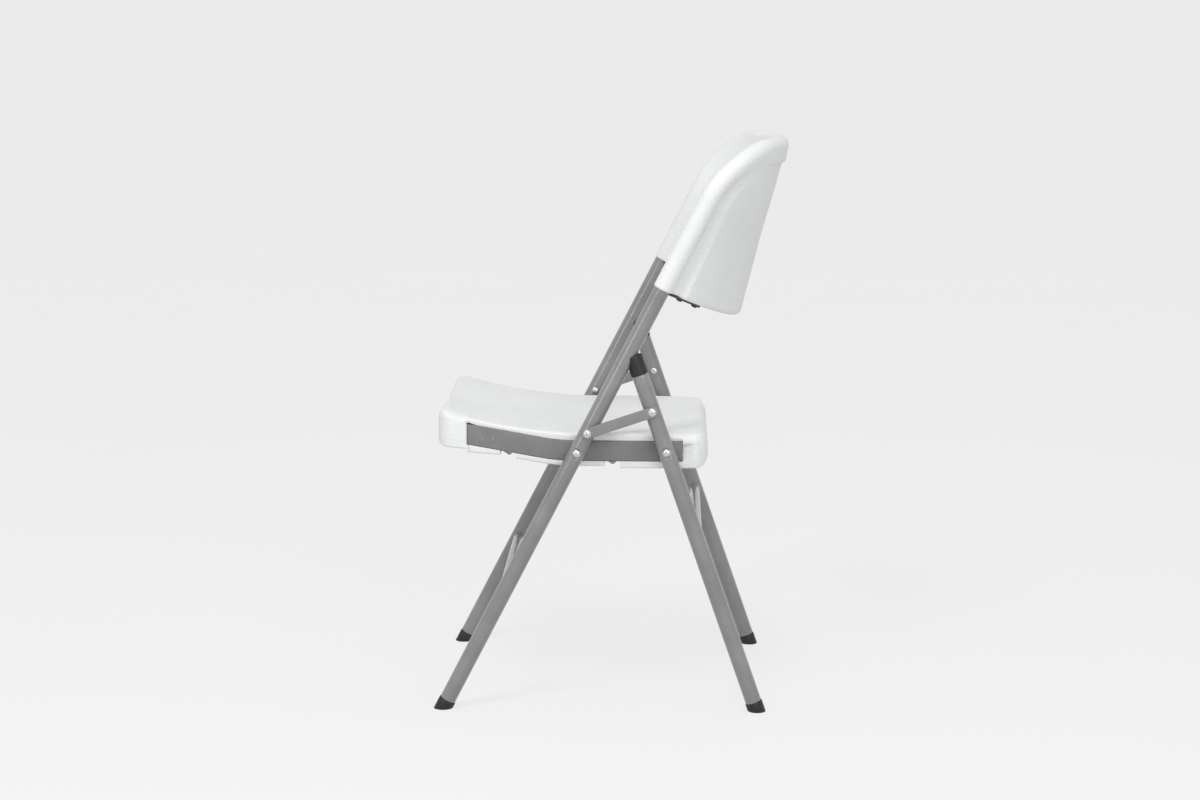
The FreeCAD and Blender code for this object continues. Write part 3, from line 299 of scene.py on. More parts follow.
# Stop caps: black plastic caps pushed over the upper ends of the rear tubes. Each is hollowed like a saddle
# where it rests on the underside of the front tube and stops the legs from spreading.
CAP_START, CAP_END, CAP_RADIUS = 557.0, 588.0, 13.2
CAP_BORE, CAP_LIP = 12.0, 0.5
CAP_ROUND = np.array([0.0, 0.15, 0.6, 1.4])
CAP_FACE_RADII = np.linspace(11, 0.5, 10)
SADDLE_TURN = FRONT_TILT + REAR_TILT
SADDLE_RADIUS = TUBE_RADIUS + 0.35
TUBES_CROSS = FOOT_SPREAD / (np.tan(FRONT_TILT) + np.tan(REAR_TILT)) / np.cos(REAR_TILT)


def saddle_top(x, y):
    """Height of the cap's end over a point of its section: flat, or the front tube's lower side where that
    is lower, which is a cylinder cut at the angle between the tubes."""
    under = np.sqrt(np.maximum(SADDLE_RADIUS ** 2 - x ** 2, 0))
    return np.minimum(CAP_END, TUBES_CROSS + (y * np.cos(SADDLE_TURN) - under) / np.sin(SADDLE_TURN))


def cap_skin():
    """Cap: rings up the side to just under the saddle, then rings drawn in over the saddle to its middle."""
    turn = full_turn(TUBE_POINTS)
    mouth = [CAP_BORE, CAP_RADIUS - CAP_LIP, CAP_RADIUS]
    radius = np.concatenate([mouth, CAP_RADIUS - CAP_ROUND, CAP_FACE_RADII])[:, None]
    x, y = radius * np.cos(turn), radius * np.sin(turn)
    along = saddle_top(x, y)
    along[:3] = np.array([CAP_START, CAP_START, CAP_START + CAP_LIP])[:, None]
    along[3:7] -= CAP_ROUND[::-1, None]
    return closed_skin(in_rear_frame(HALF_TRACK + x, y, along))


add_pair("stop_cap", cap_skin(), "rear_frame", black_plastic)

# Braces: thinner round steel tubes across the chair, one between the front tubes and one between the rear
# tubes, with the same grey coat. A small weld fillet joins each end to the leg.
BRACE_RADIUS = 8.0
BRACE_HALF = HALF_TRACK - np.sqrt(TUBE_RADIUS ** 2 - BRACE_RADIUS ** 2)
FRONT_BRACE_ALONG, REAR_BRACE_ALONG = 206.0, 286.7
WELD_RISE, WELD_FADE = 2.2, 1.6
BRACE_STEPS = np.concatenate([np.linspace(0, 12, 13), [40, 90, 150]])
BAR_POINTS = 40


def brace_skin(to_chair, place):
    """Brace: rings across the chair. The radius is the tube's own plus a weld's rise, which falls off
    exponentially with the distance from the end."""
    x = np.concatenate([BRACE_STEPS - BRACE_HALF, (BRACE_HALF - BRACE_STEPS)[::-1]])[:, None]
    radius = BRACE_RADIUS + WELD_RISE * np.exp((np.abs(x) - BRACE_HALF) / WELD_FADE)
    turn = full_turn(BAR_POINTS)
    return closed_skin(to_chair(x, radius * np.cos(turn), place + radius * np.sin(turn)))


front_brace = brace_skin(in_front_frame, FRONT_BRACE_ALONG)
rear_brace = brace_skin(in_rear_frame, REAR_BRACE_ALONG)
add_piece("front_brace_skin", [front_brace], "front_frame", grey_coat, ["front_brace"])
add_piece("rear_brace_skin", [rear_brace], "rear_frame", grey_coat, ["rear_brace"])

# Links: flat steel bars with round ends and softened edges, stamped and coated like the tubes. They are
# riveted outside the tubes and tie the front legs to the rear legs while the chair folds.
LINK_INSIDE, LINK_THICKNESS = 226.0, 3.0
LINK_RADIUS, LINK_ROUND, LINK_ROUND_STEP = 8.25, 0.8, 0.2
LINK_BACK_EDGE = 0.3
LINK_END_POINTS = 24
joint_at = {joint["name"]: np.array(joint["pos_m"]) / MILLIMETRE for joint in frame["joints"]}
LINK_FRONT = joint_at["left_link_swing"][1:]
LINK_REAR = joint_at["rear_leg_swing"][1:]


def link_skin():
    """Link: the outline of two round ends and two straight sides, drawn in towards its middle line over each
    face, with the outer rim rounded and the inner rim broken."""
    run = LINK_REAR - LINK_FRONT
    length = np.hypot(*run)
    half = np.linspace(-np.pi / 2, np.pi / 2, LINK_END_POINTS)
    round_end = np.stack([np.cos(half), np.sin(half)], axis=-1) * LINK_RADIUS
    outline = np.concatenate([round_end + [length, 0], -round_end])
    middle = LINK_RADIUS - LINK_BACK_EDGE
    inset = np.array([middle, LINK_BACK_EDGE, 0, 0, LINK_ROUND_STEP, LINK_ROUND, middle])
    outer = LINK_THICKNESS - np.array([LINK_ROUND, LINK_ROUND_STEP, 0, 0])
    x = LINK_INSIDE + np.concatenate([[0, 0, LINK_BACK_EDGE], outer])
    spine = np.stack([np.clip(outline[:, 0], 0, length), np.zeros(len(outline))], axis=-1)
    shape = spine + (outline - spine) * (1 - inset / LINK_RADIUS)[:, None, None]
    ahead = run / length
    back = LINK_FRONT[0] + shape[..., 0] * ahead[0] - shape[..., 1] * ahead[1]
    up = LINK_FRONT[1] + shape[..., 0] * ahead[1] + shape[..., 1] * ahead[0]
    return closed_skin(np.stack([np.broadcast_to(x[:, None], back.shape), back, up], axis=-1) * MILLIMETRE)


for hand, skin in (("left", link_skin()), ("right", mirrored(link_skin()))):
    add_piece(f"{hand}_link_skin", [skin], f"{hand}_link", grey_coat, [f"{hand}_link"])

# Rivets: zinc-plated steel with low domed heads outside and tails formed flat inside. Four on each side are
# the pivots of the fold: two through the seat rails and two through the link.
HEAD_RADIUS, HEAD_HEIGHT, HEAD_EDGE = 6.25, 2.7, 0.3
SHANK_RADIUS, TAIL_RADIUS, TAIL_HEIGHT = 3.0, 4.75, 2.2
TAIL_ROUND, TAIL_SIDE = 0.8, 0.7
AXIS_RADIUS = 0.05
HEAD_RINGS = 9
RIVET_PLAY = 0.1
RAIL_TAIL = 188.8
TUBE_OUTSIDE, TUBE_INSIDE = HALF_TRACK + TUBE_RADIUS, HALF_TRACK - TUBE_RADIUS
SEAT_PIVOT = joint_at["seat_fold"][1:]
REAR_PIVOT = in_rear_frame(0, 0, REAR_PIVOT_ALONG)[1:] / MILLIMETRE
ZINC_DULL = (0.53, 0.55, 0.56, 1)
ZINC_BRIGHT = (0.67, 0.69, 0.70, 1)
zinc = Finish("zinc_plate", metallic=1.0)
zinc_cloud = zinc.noise(scale=600, detail=3)
zinc.feed("Base Color", zinc.mix(zinc_cloud, ZINC_DULL, ZINC_BRIGHT))
zinc.feed("Roughness", zinc_cloud * 0.15 + 0.16)
zinc.bump(zinc.noise(scale=2500), strength=0.1, distance=0.0002)


def rivet_skin(head_base, tail_base, back, up):
    """Rivet: a turned profile about X, tail, shank and a round head whose height follows a circle's arc."""
    quarter = np.linspace(np.pi / 2, 0, HEAD_RINGS)
    sphere = (HEAD_RADIUS ** 2 + HEAD_HEIGHT ** 2) / (2 * HEAD_HEIGHT)
    head_radius = HEAD_RADIUS * np.sin(quarter)
    head_x = head_base + HEAD_HEIGHT - sphere + np.sqrt(sphere ** 2 - head_radius ** 2)
    tail_end = tail_base - TAIL_HEIGHT
    tail_radius = [AXIS_RADIUS, TAIL_RADIUS * TAIL_ROUND, TAIL_RADIUS, TAIL_RADIUS]
    tail_x = [tail_end, tail_end, tail_base - TAIL_HEIGHT * TAIL_SIDE, tail_base]
    shank_radius = [SHANK_RADIUS, SHANK_RADIUS, HEAD_RADIUS - HEAD_EDGE]
    shank_x = [tail_base, head_base, head_base]
    radius = np.concatenate([tail_radius, shank_radius, head_radius[:-1], [AXIS_RADIUS]])[:, None]
    x = np.concatenate([tail_x, shank_x, head_x])[:, None]
    turn = full_turn(BAR_POINTS)
    y, z = back + radius * np.cos(turn), up + radius * np.sin(turn)
    return closed_skin(np.stack([np.broadcast_to(x, y.shape), y, z], axis=-1) * MILLIMETRE)


def add_rivets(node, body, head_base, tail_base, spot):
    """A left and a right rivet in one piece, which stands for the node of the pair."""
    skin = rivet_skin(head_base, tail_base, *spot)
    add_piece(f"{node}_skin", [skin, mirrored(skin)], body, zinc, [node])


in_dimple = TUBE_OUTSIDE - DIMPLE_DEPTH
on_link = LINK_INSIDE + LINK_THICKNESS + RIVET_PLAY
add_rivets("front_seat_rivets", "front_frame", in_dimple, RAIL_TAIL, SEAT_PIVOT)
add_rivets("rear_seat_rivets", "rear_frame", in_dimple, RAIL_TAIL, REAR_PIVOT)
add_rivets("front_link_rivets", "front_frame", on_link, TUBE_INSIDE, LINK_FRONT)
add_rivets("rear_link_rivets", "rear_frame", on_link, TUBE_INSIDE, LINK_REAR)

# Spacers and washers: nylon rings on the rivets, hidden between tube, rail and link, which keep the painted
# faces apart. Their solids stay, in a plain milky finish.
NYLON, NYLON_PALE = (0.70, 0.69, 0.66, 1), (0.80, 0.79, 0.77, 1)
nylon = Finish("nylon", roughness=0.45)
nylon.feed("Base Color", nylon.mix(nylon.noise(scale=300), NYLON, NYLON_PALE))


def refinish(node, finish):
    """Give a solid that stays in view a new finish."""
    mesh = frame["nodes"][node].data
    mesh.materials.clear()
    mesh.materials.append(finish.material)


for end in ("front", "rear"):
    refinish(f"{end}_seat_spacers", nylon)
    refinish(f"{end}_link_washers", nylon)

# Seat rails: pressed steel channels let into the seat's sides and bent up towards the front, in a slightly
# darker textured grey coat. The left one has lost two specks of its coat.
RAIL_FACE, RAIL_DEPTH, RAIL_HALF = 191.0, 12.0, 15.5
RAIL_FRONT, RAIL_REAR, RAIL_DROP = -169.0, 161.8, 1.0
RAIL_BEND, RAIL_RISE = 330.0, np.radians(9.9)
RAIL_ROUND, RAIL_END_BREAK = 1.6, 0.6
RAIL_ROWS, RAIL_CORNER_POINTS = 60, 6
RAIL_GREY, RAIL_GREY_WORN = (0.185, 0.186, 0.185, 1), (0.225, 0.226, 0.226, 1)
BARE_METAL = (0.36, 0.36, 0.355, 1)
CHIPS = ((0.191, -0.1997, 0.4219), (0.191, -0.184, 0.4217))
CHIP_RADIUS, CHIP_EDGE = 0.0011, 0.0005
rail_coat = Finish("rail_coat", specular=0.45)
rail_cloud = rail_coat.noise(scale=30, detail=3)
rail_colour = rail_coat.mix(rail_cloud.above(edge=0.55, width=0.25), RAIL_GREY, RAIL_GREY_WORN)
for chip in CHIPS:
    ends = {0: rail_coat.place, 1: chip}
    apart = rail_coat.node("ShaderNodeVectorMath", {"operation": "DISTANCE"}, ends, "Value")
    rail_colour = rail_coat.mix(apart.above(CHIP_RADIUS, CHIP_EDGE), BARE_METAL, rail_colour)
rail_coat.feed("Base Color", rail_colour)
rail_coat.feed("Roughness", rail_cloud * 0.15 + 0.42)
rail_coat.bump(rail_coat.noise(scale=700, detail=3), strength=0.4, distance=0.0006)


def in_seat_frame(x, u, v):
    """Points given across, behind and above the seat's front pivot (mm), as chair coordinates (m)."""
    x, u, v = np.broadcast_arrays(x, u, v)
    return np.stack([x, SEAT_PIVOT[0] + u, SEAT_PIVOT[1] + v], axis=-1) * MILLIMETRE


def rail_line(u, offset):
    """Height of a line that runs beside the rail's middle line at an offset: level behind the pivot, an arc
    in front of it, then a straight rise."""
    radius = RAIL_BEND - offset
    bend_end = -radius * np.sin(RAIL_RISE)
    level = offset - RAIL_DROP
    arc = level + radius - np.sqrt(np.maximum(radius ** 2 - np.minimum(u, 0) ** 2, 1))
    rise = level + radius * (1 - np.cos(RAIL_RISE)) + (bend_end - u) * np.tan(RAIL_RISE)
    return np.where(u > 0, level, np.where(u > bend_end, arc, rise))


def rail_skin():
    """Rail: a channel's outer section, with rounded outer edges, carried from end to end along the rail line
    and drawn in a little at both ends."""
    quarter = np.linspace(0, np.pi / 2, RAIL_CORNER_POINTS)
    corner_x = RAIL_FACE - RAIL_ROUND * (1 - np.cos(quarter))
    corner_v = RAIL_HALF - RAIL_ROUND * (1 - np.sin(quarter))
    x = np.concatenate([corner_x, [RAIL_FACE - RAIL_DEPTH] * 2, corner_x[::-1]])
    offset = np.concatenate([corner_v, [RAIL_HALF, -RAIL_HALF], -corner_v[::-1]])
    middle = np.linspace(RAIL_FRONT + RAIL_END_BREAK, RAIL_REAR - RAIL_END_BREAK, RAIL_ROWS)
    u = np.concatenate([[RAIL_FRONT], middle, [RAIL_REAR]])[:, None]
    at_end = (u == RAIL_FRONT) | (u == RAIL_REAR)
    at_face = x > RAIL_FACE - RAIL_ROUND - RAIL_END_BREAK
    return closed_skin(in_seat_frame(x - RAIL_END_BREAK * at_end * at_face, u, rail_line(u, offset)))


add_pair("seat_rail", rail_skin(), "seat", rail_coat)

# Cross rods: round steel bars under the seat, pressed flat at their ends, where they are welded to the
# rails. The clips and screws that hold the seat to them stay as solids, zinc plated like the rivets.
ROD_RADIUS, ROD_SINK = 4.75, 0.3
ROD_HALF = RAIL_FACE - 2
FLAT_LENGTH, FLAT_HALF_HEIGHT, FLAT_HALF_WIDTH = 14.0, 1.6, 6.0
FLAT_START, FLAT_RUN = 1.6 * FLAT_LENGTH, 0.6 * FLAT_LENGTH
ROD_STEPS = np.concatenate([np.linspace(0, 2 * FLAT_LENGTH, 24), [60, 110, 170]])
FRONT_ROD_U, REAR_ROD_U = -106.7, 54.0


def blend(value, start, end):
    """Smooth step from 0 at the start value to 1 at the end value."""
    share = np.clip((value - start) / (end - start), 0, 1)
    return share ** 2 * (3 - 2 * share)


def rod_skin(u):
    """Rod: rings along X whose section goes from a circle to a flat oval over the last stretch of each end,
    with the top of the flat held against the rail."""
    x = np.concatenate([ROD_STEPS - ROD_HALF, (ROD_HALF - ROD_STEPS)[::-1]])[:, None]
    flat = blend(np.abs(x), ROD_HALF - FLAT_START, ROD_HALF - FLAT_START + FLAT_RUN)
    high = ROD_RADIUS + (FLAT_HALF_HEIGHT - ROD_RADIUS) * flat
    wide = ROD_RADIUS + (FLAT_HALF_WIDTH - ROD_RADIUS) * flat
    turn = full_turn(BAR_POINTS)
    roof = rail_line(u, -RAIL_HALF) + ROD_SINK
    slope = np.where(u < 0, np.tan(RAIL_RISE), 0.0)
    across = wide * np.cos(turn)
    return closed_skin(in_seat_frame(x, u + across, roof - high + high * np.sin(turn) - slope * across))


for end, u in (("front", FRONT_ROD_U), ("rear", REAR_ROD_U)):
    name = f"{end}_cross_rod"
    add_piece(f"{name}_skin", [rod_skin(u)], "seat", grey_coat, [name])
refinish("rod_clips", zinc)
refinish("rod_clip_screws", zinc)

# Seat panel: blow-moulded white plastic with a fine grain, dished and swept up at the front. Long pockets in
# its sides take the rails, pads stand below them, and grooves let the cross rods in.
SEAT_HALF, SEAT_FRONT, SEAT_REAR = 194.5, -215.0, 201.0
FRONT_CORNER, REAR_CORNER = 26.0, 40.0
SEAT_TOP, SEAT_SWEEP, SEAT_FLAT_START = 25.8, 768.0, 20.0
NOSE_END = RAIL_FRONT - 0.5
NOSE_ROUND_LENGTH, NOSE_ROUND_HEIGHT, NOSE_LOW_ROUND = 13.0, 18.0, 11.0
TAIL_ROUND_LENGTH, TAIL_ROUND_HEIGHT, TAIL_LOW_ROUND = 18.0, 22.0, 18.0
NOSE_LOW, FRONT_PAD_LOW = (4.5, 1.0), (-4.6, -10.0)
MIDDLE_PAD_DEPTH, REAR_PAD_DEPTH, GROOVE_HALF = 8.2, 11.0, 12.0
WAIST_DEPTH, WAIST_FRONT_FADE, WAIST_REAR, WAIST_REAR_FADE = 4.0, 5.0, 168.0, 20.0
BROW_HEIGHT, BROW_INSIDE, BROW_LEAD, BROW_FADE = 1.4, 110.0, 3.0, 6.0
RAIL_CLEAR, POCKET_FLOOR, POCKET_REAR, POCKET_ROOF = 0.5, 178.5, 184.0, 2.0
WEDGE_HEIGHT, WEDGE_LENGTH = 3.0, 13.6
SCOOP_FRONT, SCOOP_DEPTH = RAIL_REAR + 0.4, 4.2
SCOOP_TOP_DROP, SCOOP_TOP_RISE, SCOOP_LOW_LIFT, SCOOP_LOW_RISE = 5.6, 2.4, 1.6, 11.0
SCOOP_CURVE = 1.5
SIDE_BAND, TAIL_BAND = 7.0, 2.0
SIDE_LEAN, LEAN_FADE, LEAN_END = 2.0, 8.0, POCKET_REAR - 1
TOP_ROUND, TAIL_TOP_ROUND, BLOCK_TOP_ROUND, LEAST_ROUND = 6.0, 15.0, 24.0, 3.5
BLOCK_ROUND, BLOCK_TOP_DROP, BLOCK_LEAD, BLOCK_FADE = 4.0, 10.0, 4.0, 6.0
TAIL_START = WAIST_REAR - 70
LOW_EDGE, LOW_EDGE_SHARE, LEAST_SIDE = 3.0, 0.4, 0.2
ROUND_SHARE = 0.45
LIP, LIP_SHARE = 0.4, 0.02
DISH_DEPTH, DISH_RUN, DISH_THICKNESS = 8.0, 90.0, 30.0
DIP_HALF, DIP_START, DIP_END = 60.0, SEAT_FRONT + 20, SEAT_FRONT + 110
NOSE_ROWS, TAIL_ROWS, ROW_GAP = 24.0, 40.0, 2.0
STEP_HALF = 0.02
BLOCK_STEP, BLOCK_REACH = 0.5, 6.0
END_ROWS, SCOOP_ROWS, MIDDLE_ROWS = 14, 14, 90
TOP_POINTS, EDGE_POINTS, LOW_EDGE_POINTS, BASE_POINTS = 22, 9, 5, 12
WHITE = (0.83, 0.84, 0.84, 1)
WHITE_SHADE = (0.78, 0.79, 0.795, 1)
white_plastic = Finish("white_moulded_plastic", specular=0.45)
white_cloud = white_plastic.noise(scale=9, detail=3)
white_cells = {"Vector": white_plastic.place, "Scale": 330.0}
white_grain = white_plastic.node("ShaderNodeTexVoronoi", {}, white_cells)
white_colour = white_plastic.mix(white_cloud.above(edge=0.5, width=0.3), WHITE, WHITE_SHADE)
white_plastic.feed("Base Color", white_colour)
white_plastic.feed("Roughness", white_cloud * 0.12 + 0.52)
white_relief = white_grain + white_plastic.noise(scale=200, detail=3) * 0.8
white_plastic.bump(white_relief, strength=0.6, distance=0.0008)


def ease(distance, radius):
    """How far an edge round of a radius draws a face back at a distance from the edge, down to 0 at the
    radius: the radius less the height of a circle there."""
    inside = np.clip(1 - distance / radius, 0, 1)
    return radius * (1 - np.sqrt(1 - inside ** 2))


def seat_half_width(u):
    """Half width of the seat seen from above, less its corner rounds and the shallow waist over the
    rails."""
    front = ease(u - SEAT_FRONT, FRONT_CORNER)
    rear = ease(SEAT_REAR - u, REAR_CORNER)
    waist_front = blend(u, NOSE_END, NOSE_END + WAIST_FRONT_FADE)
    waist_rear = blend(u, WAIST_REAR, WAIST_REAR + WAIST_REAR_FADE)
    return SEAT_HALF - front - rear - WAIST_DEPTH * (waist_front - waist_rear)


def seat_brow(u):
    """How far the nose's corners stand over the sweep of the top, fading just behind the nose."""
    return BROW_HEIGHT * (1 - blend(u, NOSE_END - BROW_LEAD, NOSE_END + BROW_FADE))


def seat_top(u):
    """Height of the top along the seat's side: level behind, a circle's arc in front, rounded at both
    ends."""
    ahead = np.minimum(u - SEAT_FLAT_START, 0)
    level = SEAT_TOP + SEAT_SWEEP - np.sqrt(SEAT_SWEEP ** 2 - ahead ** 2)
    nose = ease(u - SEAT_FRONT, NOSE_ROUND_LENGTH) * NOSE_ROUND_HEIGHT / NOSE_ROUND_LENGTH
    tail = ease(SEAT_REAR - u, TAIL_ROUND_LENGTH) * TAIL_ROUND_HEIGHT / TAIL_ROUND_LENGTH
    return level + seat_brow(u) - nose - tail


def seat_underside(u):
    """Height of the underside: the nose, three pads that follow the rails and the grooves for the rods."""
    slab = rail_line(u, -RAIL_HALF - RAIL_CLEAR)
    nose = np.interp(u, [SEAT_FRONT, NOSE_END], NOSE_LOW)
    front_pad = np.interp(u, [NOSE_END, FRONT_ROD_U], FRONT_PAD_LOW)
    groove = np.minimum(np.abs(u - FRONT_ROD_U), np.abs(u - REAR_ROD_U)) < GROOVE_HALF
    places = [u < NOSE_END, groove, u < FRONT_ROD_U, u < REAR_ROD_U]
    low = np.select(places, [nose, slab, front_pad, slab - MIDDLE_PAD_DEPTH], slab - REAR_PAD_DEPTH)
    return low + ease(u - SEAT_FRONT, NOSE_LOW_ROUND) + ease(SEAT_REAR - u, TAIL_LOW_ROUND)


def seat_rows():
    """Places fore and aft of the seat's sections: close together at the ends, doubled at each step."""
    ends = 1 - np.cos(np.linspace(0, np.pi / 2, END_ROWS))
    nose = SEAT_FRONT + NOSE_ROWS * ends
    tail = SEAT_REAR - TAIL_ROWS * ends[::-1]
    grooves = np.add.outer([FRONT_ROD_U, REAR_ROD_U], [-GROOVE_HALF, GROOVE_HALF]).ravel()
    steps = np.concatenate([[NOSE_END], grooves, [SCOOP_FRONT, POCKET_REAR]])
    block = NOSE_END + np.concatenate([-BLOCK_ROUND * ends, np.arange(BLOCK_STEP, BLOCK_REACH, BLOCK_STEP)])
    scoop = np.linspace(SCOOP_FRONT, POCKET_REAR, SCOOP_ROWS)[1:-1]
    rest = np.linspace(SEAT_FRONT + NOSE_ROWS + ROW_GAP, SEAT_REAR - TAIL_ROWS - ROW_GAP, MIDDLE_ROWS)
    doubled = np.concatenate([steps - STEP_HALF, steps + STEP_HALF])
    return np.unique(np.concatenate([nose, tail, doubled, block, scoop, rest]))


def seat_pocket(u, half, top, low):
    """Rail pocket at each row: the heights of its roof and floor, the place across of its inner wall, and
    how far the side above it leans in. Roof and floor follow the rail, meet half way up the side where
    there is no pocket, and close in a scoop that gets shallower behind the rail."""
    beside = (u > NOSE_END - BLOCK_ROUND) & (u < POCKET_REAR)
    scoop = u > SCOOP_FRONT
    share = np.clip((u - SCOOP_FRONT) / (POCKET_REAR - SCOOP_FRONT), 0, 1)
    wedge = WEDGE_HEIGHT * np.clip(1 - (u - NOSE_END) / WEDGE_LENGTH, 0, 1)
    channel_top = np.minimum(rail_line(u, RAIL_HALF + RAIL_CLEAR) + wedge, top - POCKET_ROOF)
    channel_low = rail_line(u, -RAIL_HALF - RAIL_CLEAR)
    scoop_top = rail_line(u, RAIL_HALF) - SCOOP_TOP_DROP + SCOOP_TOP_RISE * share
    scoop_low = rail_line(u, -RAIL_HALF) + SCOOP_LOW_LIFT + SCOOP_LOW_RISE * share ** SCOOP_CURVE
    roof = np.where(beside, np.where(scoop, scoop_top, channel_top), (top + low) / 2)
    floor = np.where(beside, np.where(scoop, scoop_low, channel_low), (top + low) / 2)
    lean = SIDE_LEAN * (blend(u, NOSE_END, NOSE_END + LEAN_FADE) - blend(u, RAIL_REAR, LEAN_END))
    deep = np.where(scoop, half - lean - SCOOP_DEPTH * (1 - share), POCKET_FLOOR)
    nose_side = half - ease(NOSE_END - u, BLOCK_ROUND) * beside
    wall = np.where((u > NOSE_END) & (u < POCKET_REAR), deep, nose_side)
    return roof, floor, wall, lean


def seat_edge(u, top, low, roof):
    """Width and height of the round between top and side at each row: small over the rails, limited by the
    band that stays above the pocket, wider at the tail, and wide and low on the nose's corners."""
    beside = (u > NOSE_END - BLOCK_ROUND) & (u < POCKET_REAR)
    most = (top - low) * ROUND_SHARE
    at_nose = 1 - blend(u, NOSE_END - BLOCK_LEAD, NOSE_END + BLOCK_FADE)
    at_tail = blend(u, TAIL_START, POCKET_REAR)
    wide = TOP_ROUND + (BLOCK_TOP_ROUND - TOP_ROUND) * at_nose + (TAIL_TOP_ROUND - TOP_ROUND) * at_tail
    wide = np.minimum(wide, most)
    band = SIDE_BAND - (SIDE_BAND - TAIL_BAND) * at_tail
    high = np.minimum(wide, np.where(beside, np.maximum(top - roof - band, LEAST_ROUND), most))
    return wide, high + (np.minimum(BLOCK_TOP_DROP, most) - high) * at_nose


def seat_crown(u, inner, inner_half, top, thick):
    """Height of the top from its middle out to the edge rounds: the side's height less a round dish, which
    turns into a narrow dip at the front edge, and less the brow away from the corners."""
    at_rear = np.sqrt(np.clip((SEAT_REAR - u) / DISH_RUN, 0, 1))
    dish = DISH_DEPTH * at_rear * np.clip(thick / DISH_THICKNESS, 0, 1)
    at_front = 1 - blend(u, DIP_START, DIP_END)
    round_dish = 1 - (inner / inner_half) ** 2
    dip = np.exp(-(inner / DIP_HALF) ** 2)
    crown = top - dish * (round_dish + (dip - round_dish) * at_front)
    return crown - seat_brow(u) * (1 - blend(inner, BROW_INSIDE, inner_half))


def seat_skin():
    """Seat: a closed section at every row. From the middle of the top out to the rounded edge, down the
    side, in and out of the rail pocket, round the lower edge and back to the middle of the underside."""
    u = seat_rows()[:, None]
    half = seat_half_width(u)
    top, low = seat_top(u), seat_underside(u)
    roof, floor, wall, lean = seat_pocket(u, half, top, low)
    edge_wide, edge_high = seat_edge(u, top, low, roof)
    inner = (half - edge_wide) * np.sin(np.linspace(0, np.pi / 2, TOP_POINTS))
    crown = seat_crown(u, inner, half - edge_wide, top, top - low)
    quarter = np.linspace(0, np.pi / 2, EDGE_POINTS)[1:]
    edge_x = half - edge_wide * (1 - np.sin(quarter))
    edge_v = top - edge_high * (1 - np.cos(quarter))
    foot = np.minimum(LOW_EDGE, np.maximum(floor - low, LEAST_SIDE) * LOW_EDGE_SHARE)
    lip = np.minimum(LIP, np.maximum(roof - floor, 0) * LIP_SHARE)
    side_x = np.concatenate([half - lean, half - lean, wall, wall, half, half], axis=1)
    side_v = np.concatenate([roof + lip, roof, roof, floor, floor, low + foot], axis=1)
    lower = np.linspace(0, np.pi / 2, LOW_EDGE_POINTS)[1:]
    foot_x = half - foot * (1 - np.cos(lower))
    foot_v = low + foot * (1 - np.sin(lower))
    base_x = (half - foot) * np.linspace(1, 0, BASE_POINTS)[1:]
    base_v = np.broadcast_to(low, base_x.shape)
    left_x = np.concatenate([inner, edge_x, side_x, foot_x, base_x], axis=1)
    left_v = np.concatenate([crown, edge_v, side_v, foot_v, base_v], axis=1)
    x = np.concatenate([left_x, -left_x[:, -2:0:-1]], axis=1)
    v = np.concatenate([left_v, left_v[:, -2:0:-1]], axis=1)
    return closed_skin(in_seat_frame(x, u, v))


add_piece("seat_panel_skin", [seat_skin()], "seat", white_plastic, ["seat_panel"], crease=50)

# Backrest: blow-moulded white plastic, bowed round the sitter's back and pushed down over the front tubes.
# A rolled rim takes the tubes at the sides and runs on over the top, with a shallow valley beside it and a
# lip under it at the back.
BACK_BOTTOM, BACK_TOP = 737.0, 1019.0
ROLL_RADIUS, PANEL_HALF, SWELL_WIDTH = 14.5, 12.5, 11.0
VALLEY_DEPTH, FRONT_VALLEY_DEPTH, LIP_HEIGHT = 6.5, 1.5, 4.4
VALLEY_FALL, VALLEY_CLIMB = (4, 18), (26, 35)
LIP_CLIMB, LIP_FALL = (0, 14), (17, 23)
VALLEY_FOCUS, LIP_FOCUS = 6, 30
FOOT_ROUND, FOOT_ROUND_MIDDLE = 3.0, 8.0
CORNER_RADIUS, CROWN_RADIUS = 103.0, 800.0
CROWN_ALONG = BACK_TOP - ROLL_RADIUS - CROWN_RADIUS
CORNER_X = HALF_TRACK - CORNER_RADIUS
CORNER_ALONG = CROWN_ALONG + np.sqrt((CROWN_RADIUS - CORNER_RADIUS) ** 2 - CORNER_X ** 2)
BOW_HEIGHTS, BOW_DEPTHS = (737, 870, 950, 981, 1006), (138.5, 107.5, 92.0, 84.5, 80.5)
BOW_BLEND = (-12, -6, 0, 6, 12)
FOOT_ROWS, SIDE_ROWS_START = [0, 0.4, 1.2, 2.5], 4
SIDE_ROWS, CORNER_ROWS, CROWN_ROWS = 24, 20, 20
ROLL_POINTS = 15
PANEL_ROWS = [205, 204.6, 204, 203, 201, 193, 175, 150, 128, 108, 92, 79, 68, 59, 52]
RIM_ROWS = np.append(np.arange(46, 0, -1.6), 0)


def bow_depth(along):
    """How far the panel's back stands behind the tubes at its middle: straight runs, blended over 24 mm."""
    runs = [np.interp(along + shift, BOW_HEIGHTS, BOW_DEPTHS) for shift in BOW_BLEND]
    return sum(runs) / len(runs)


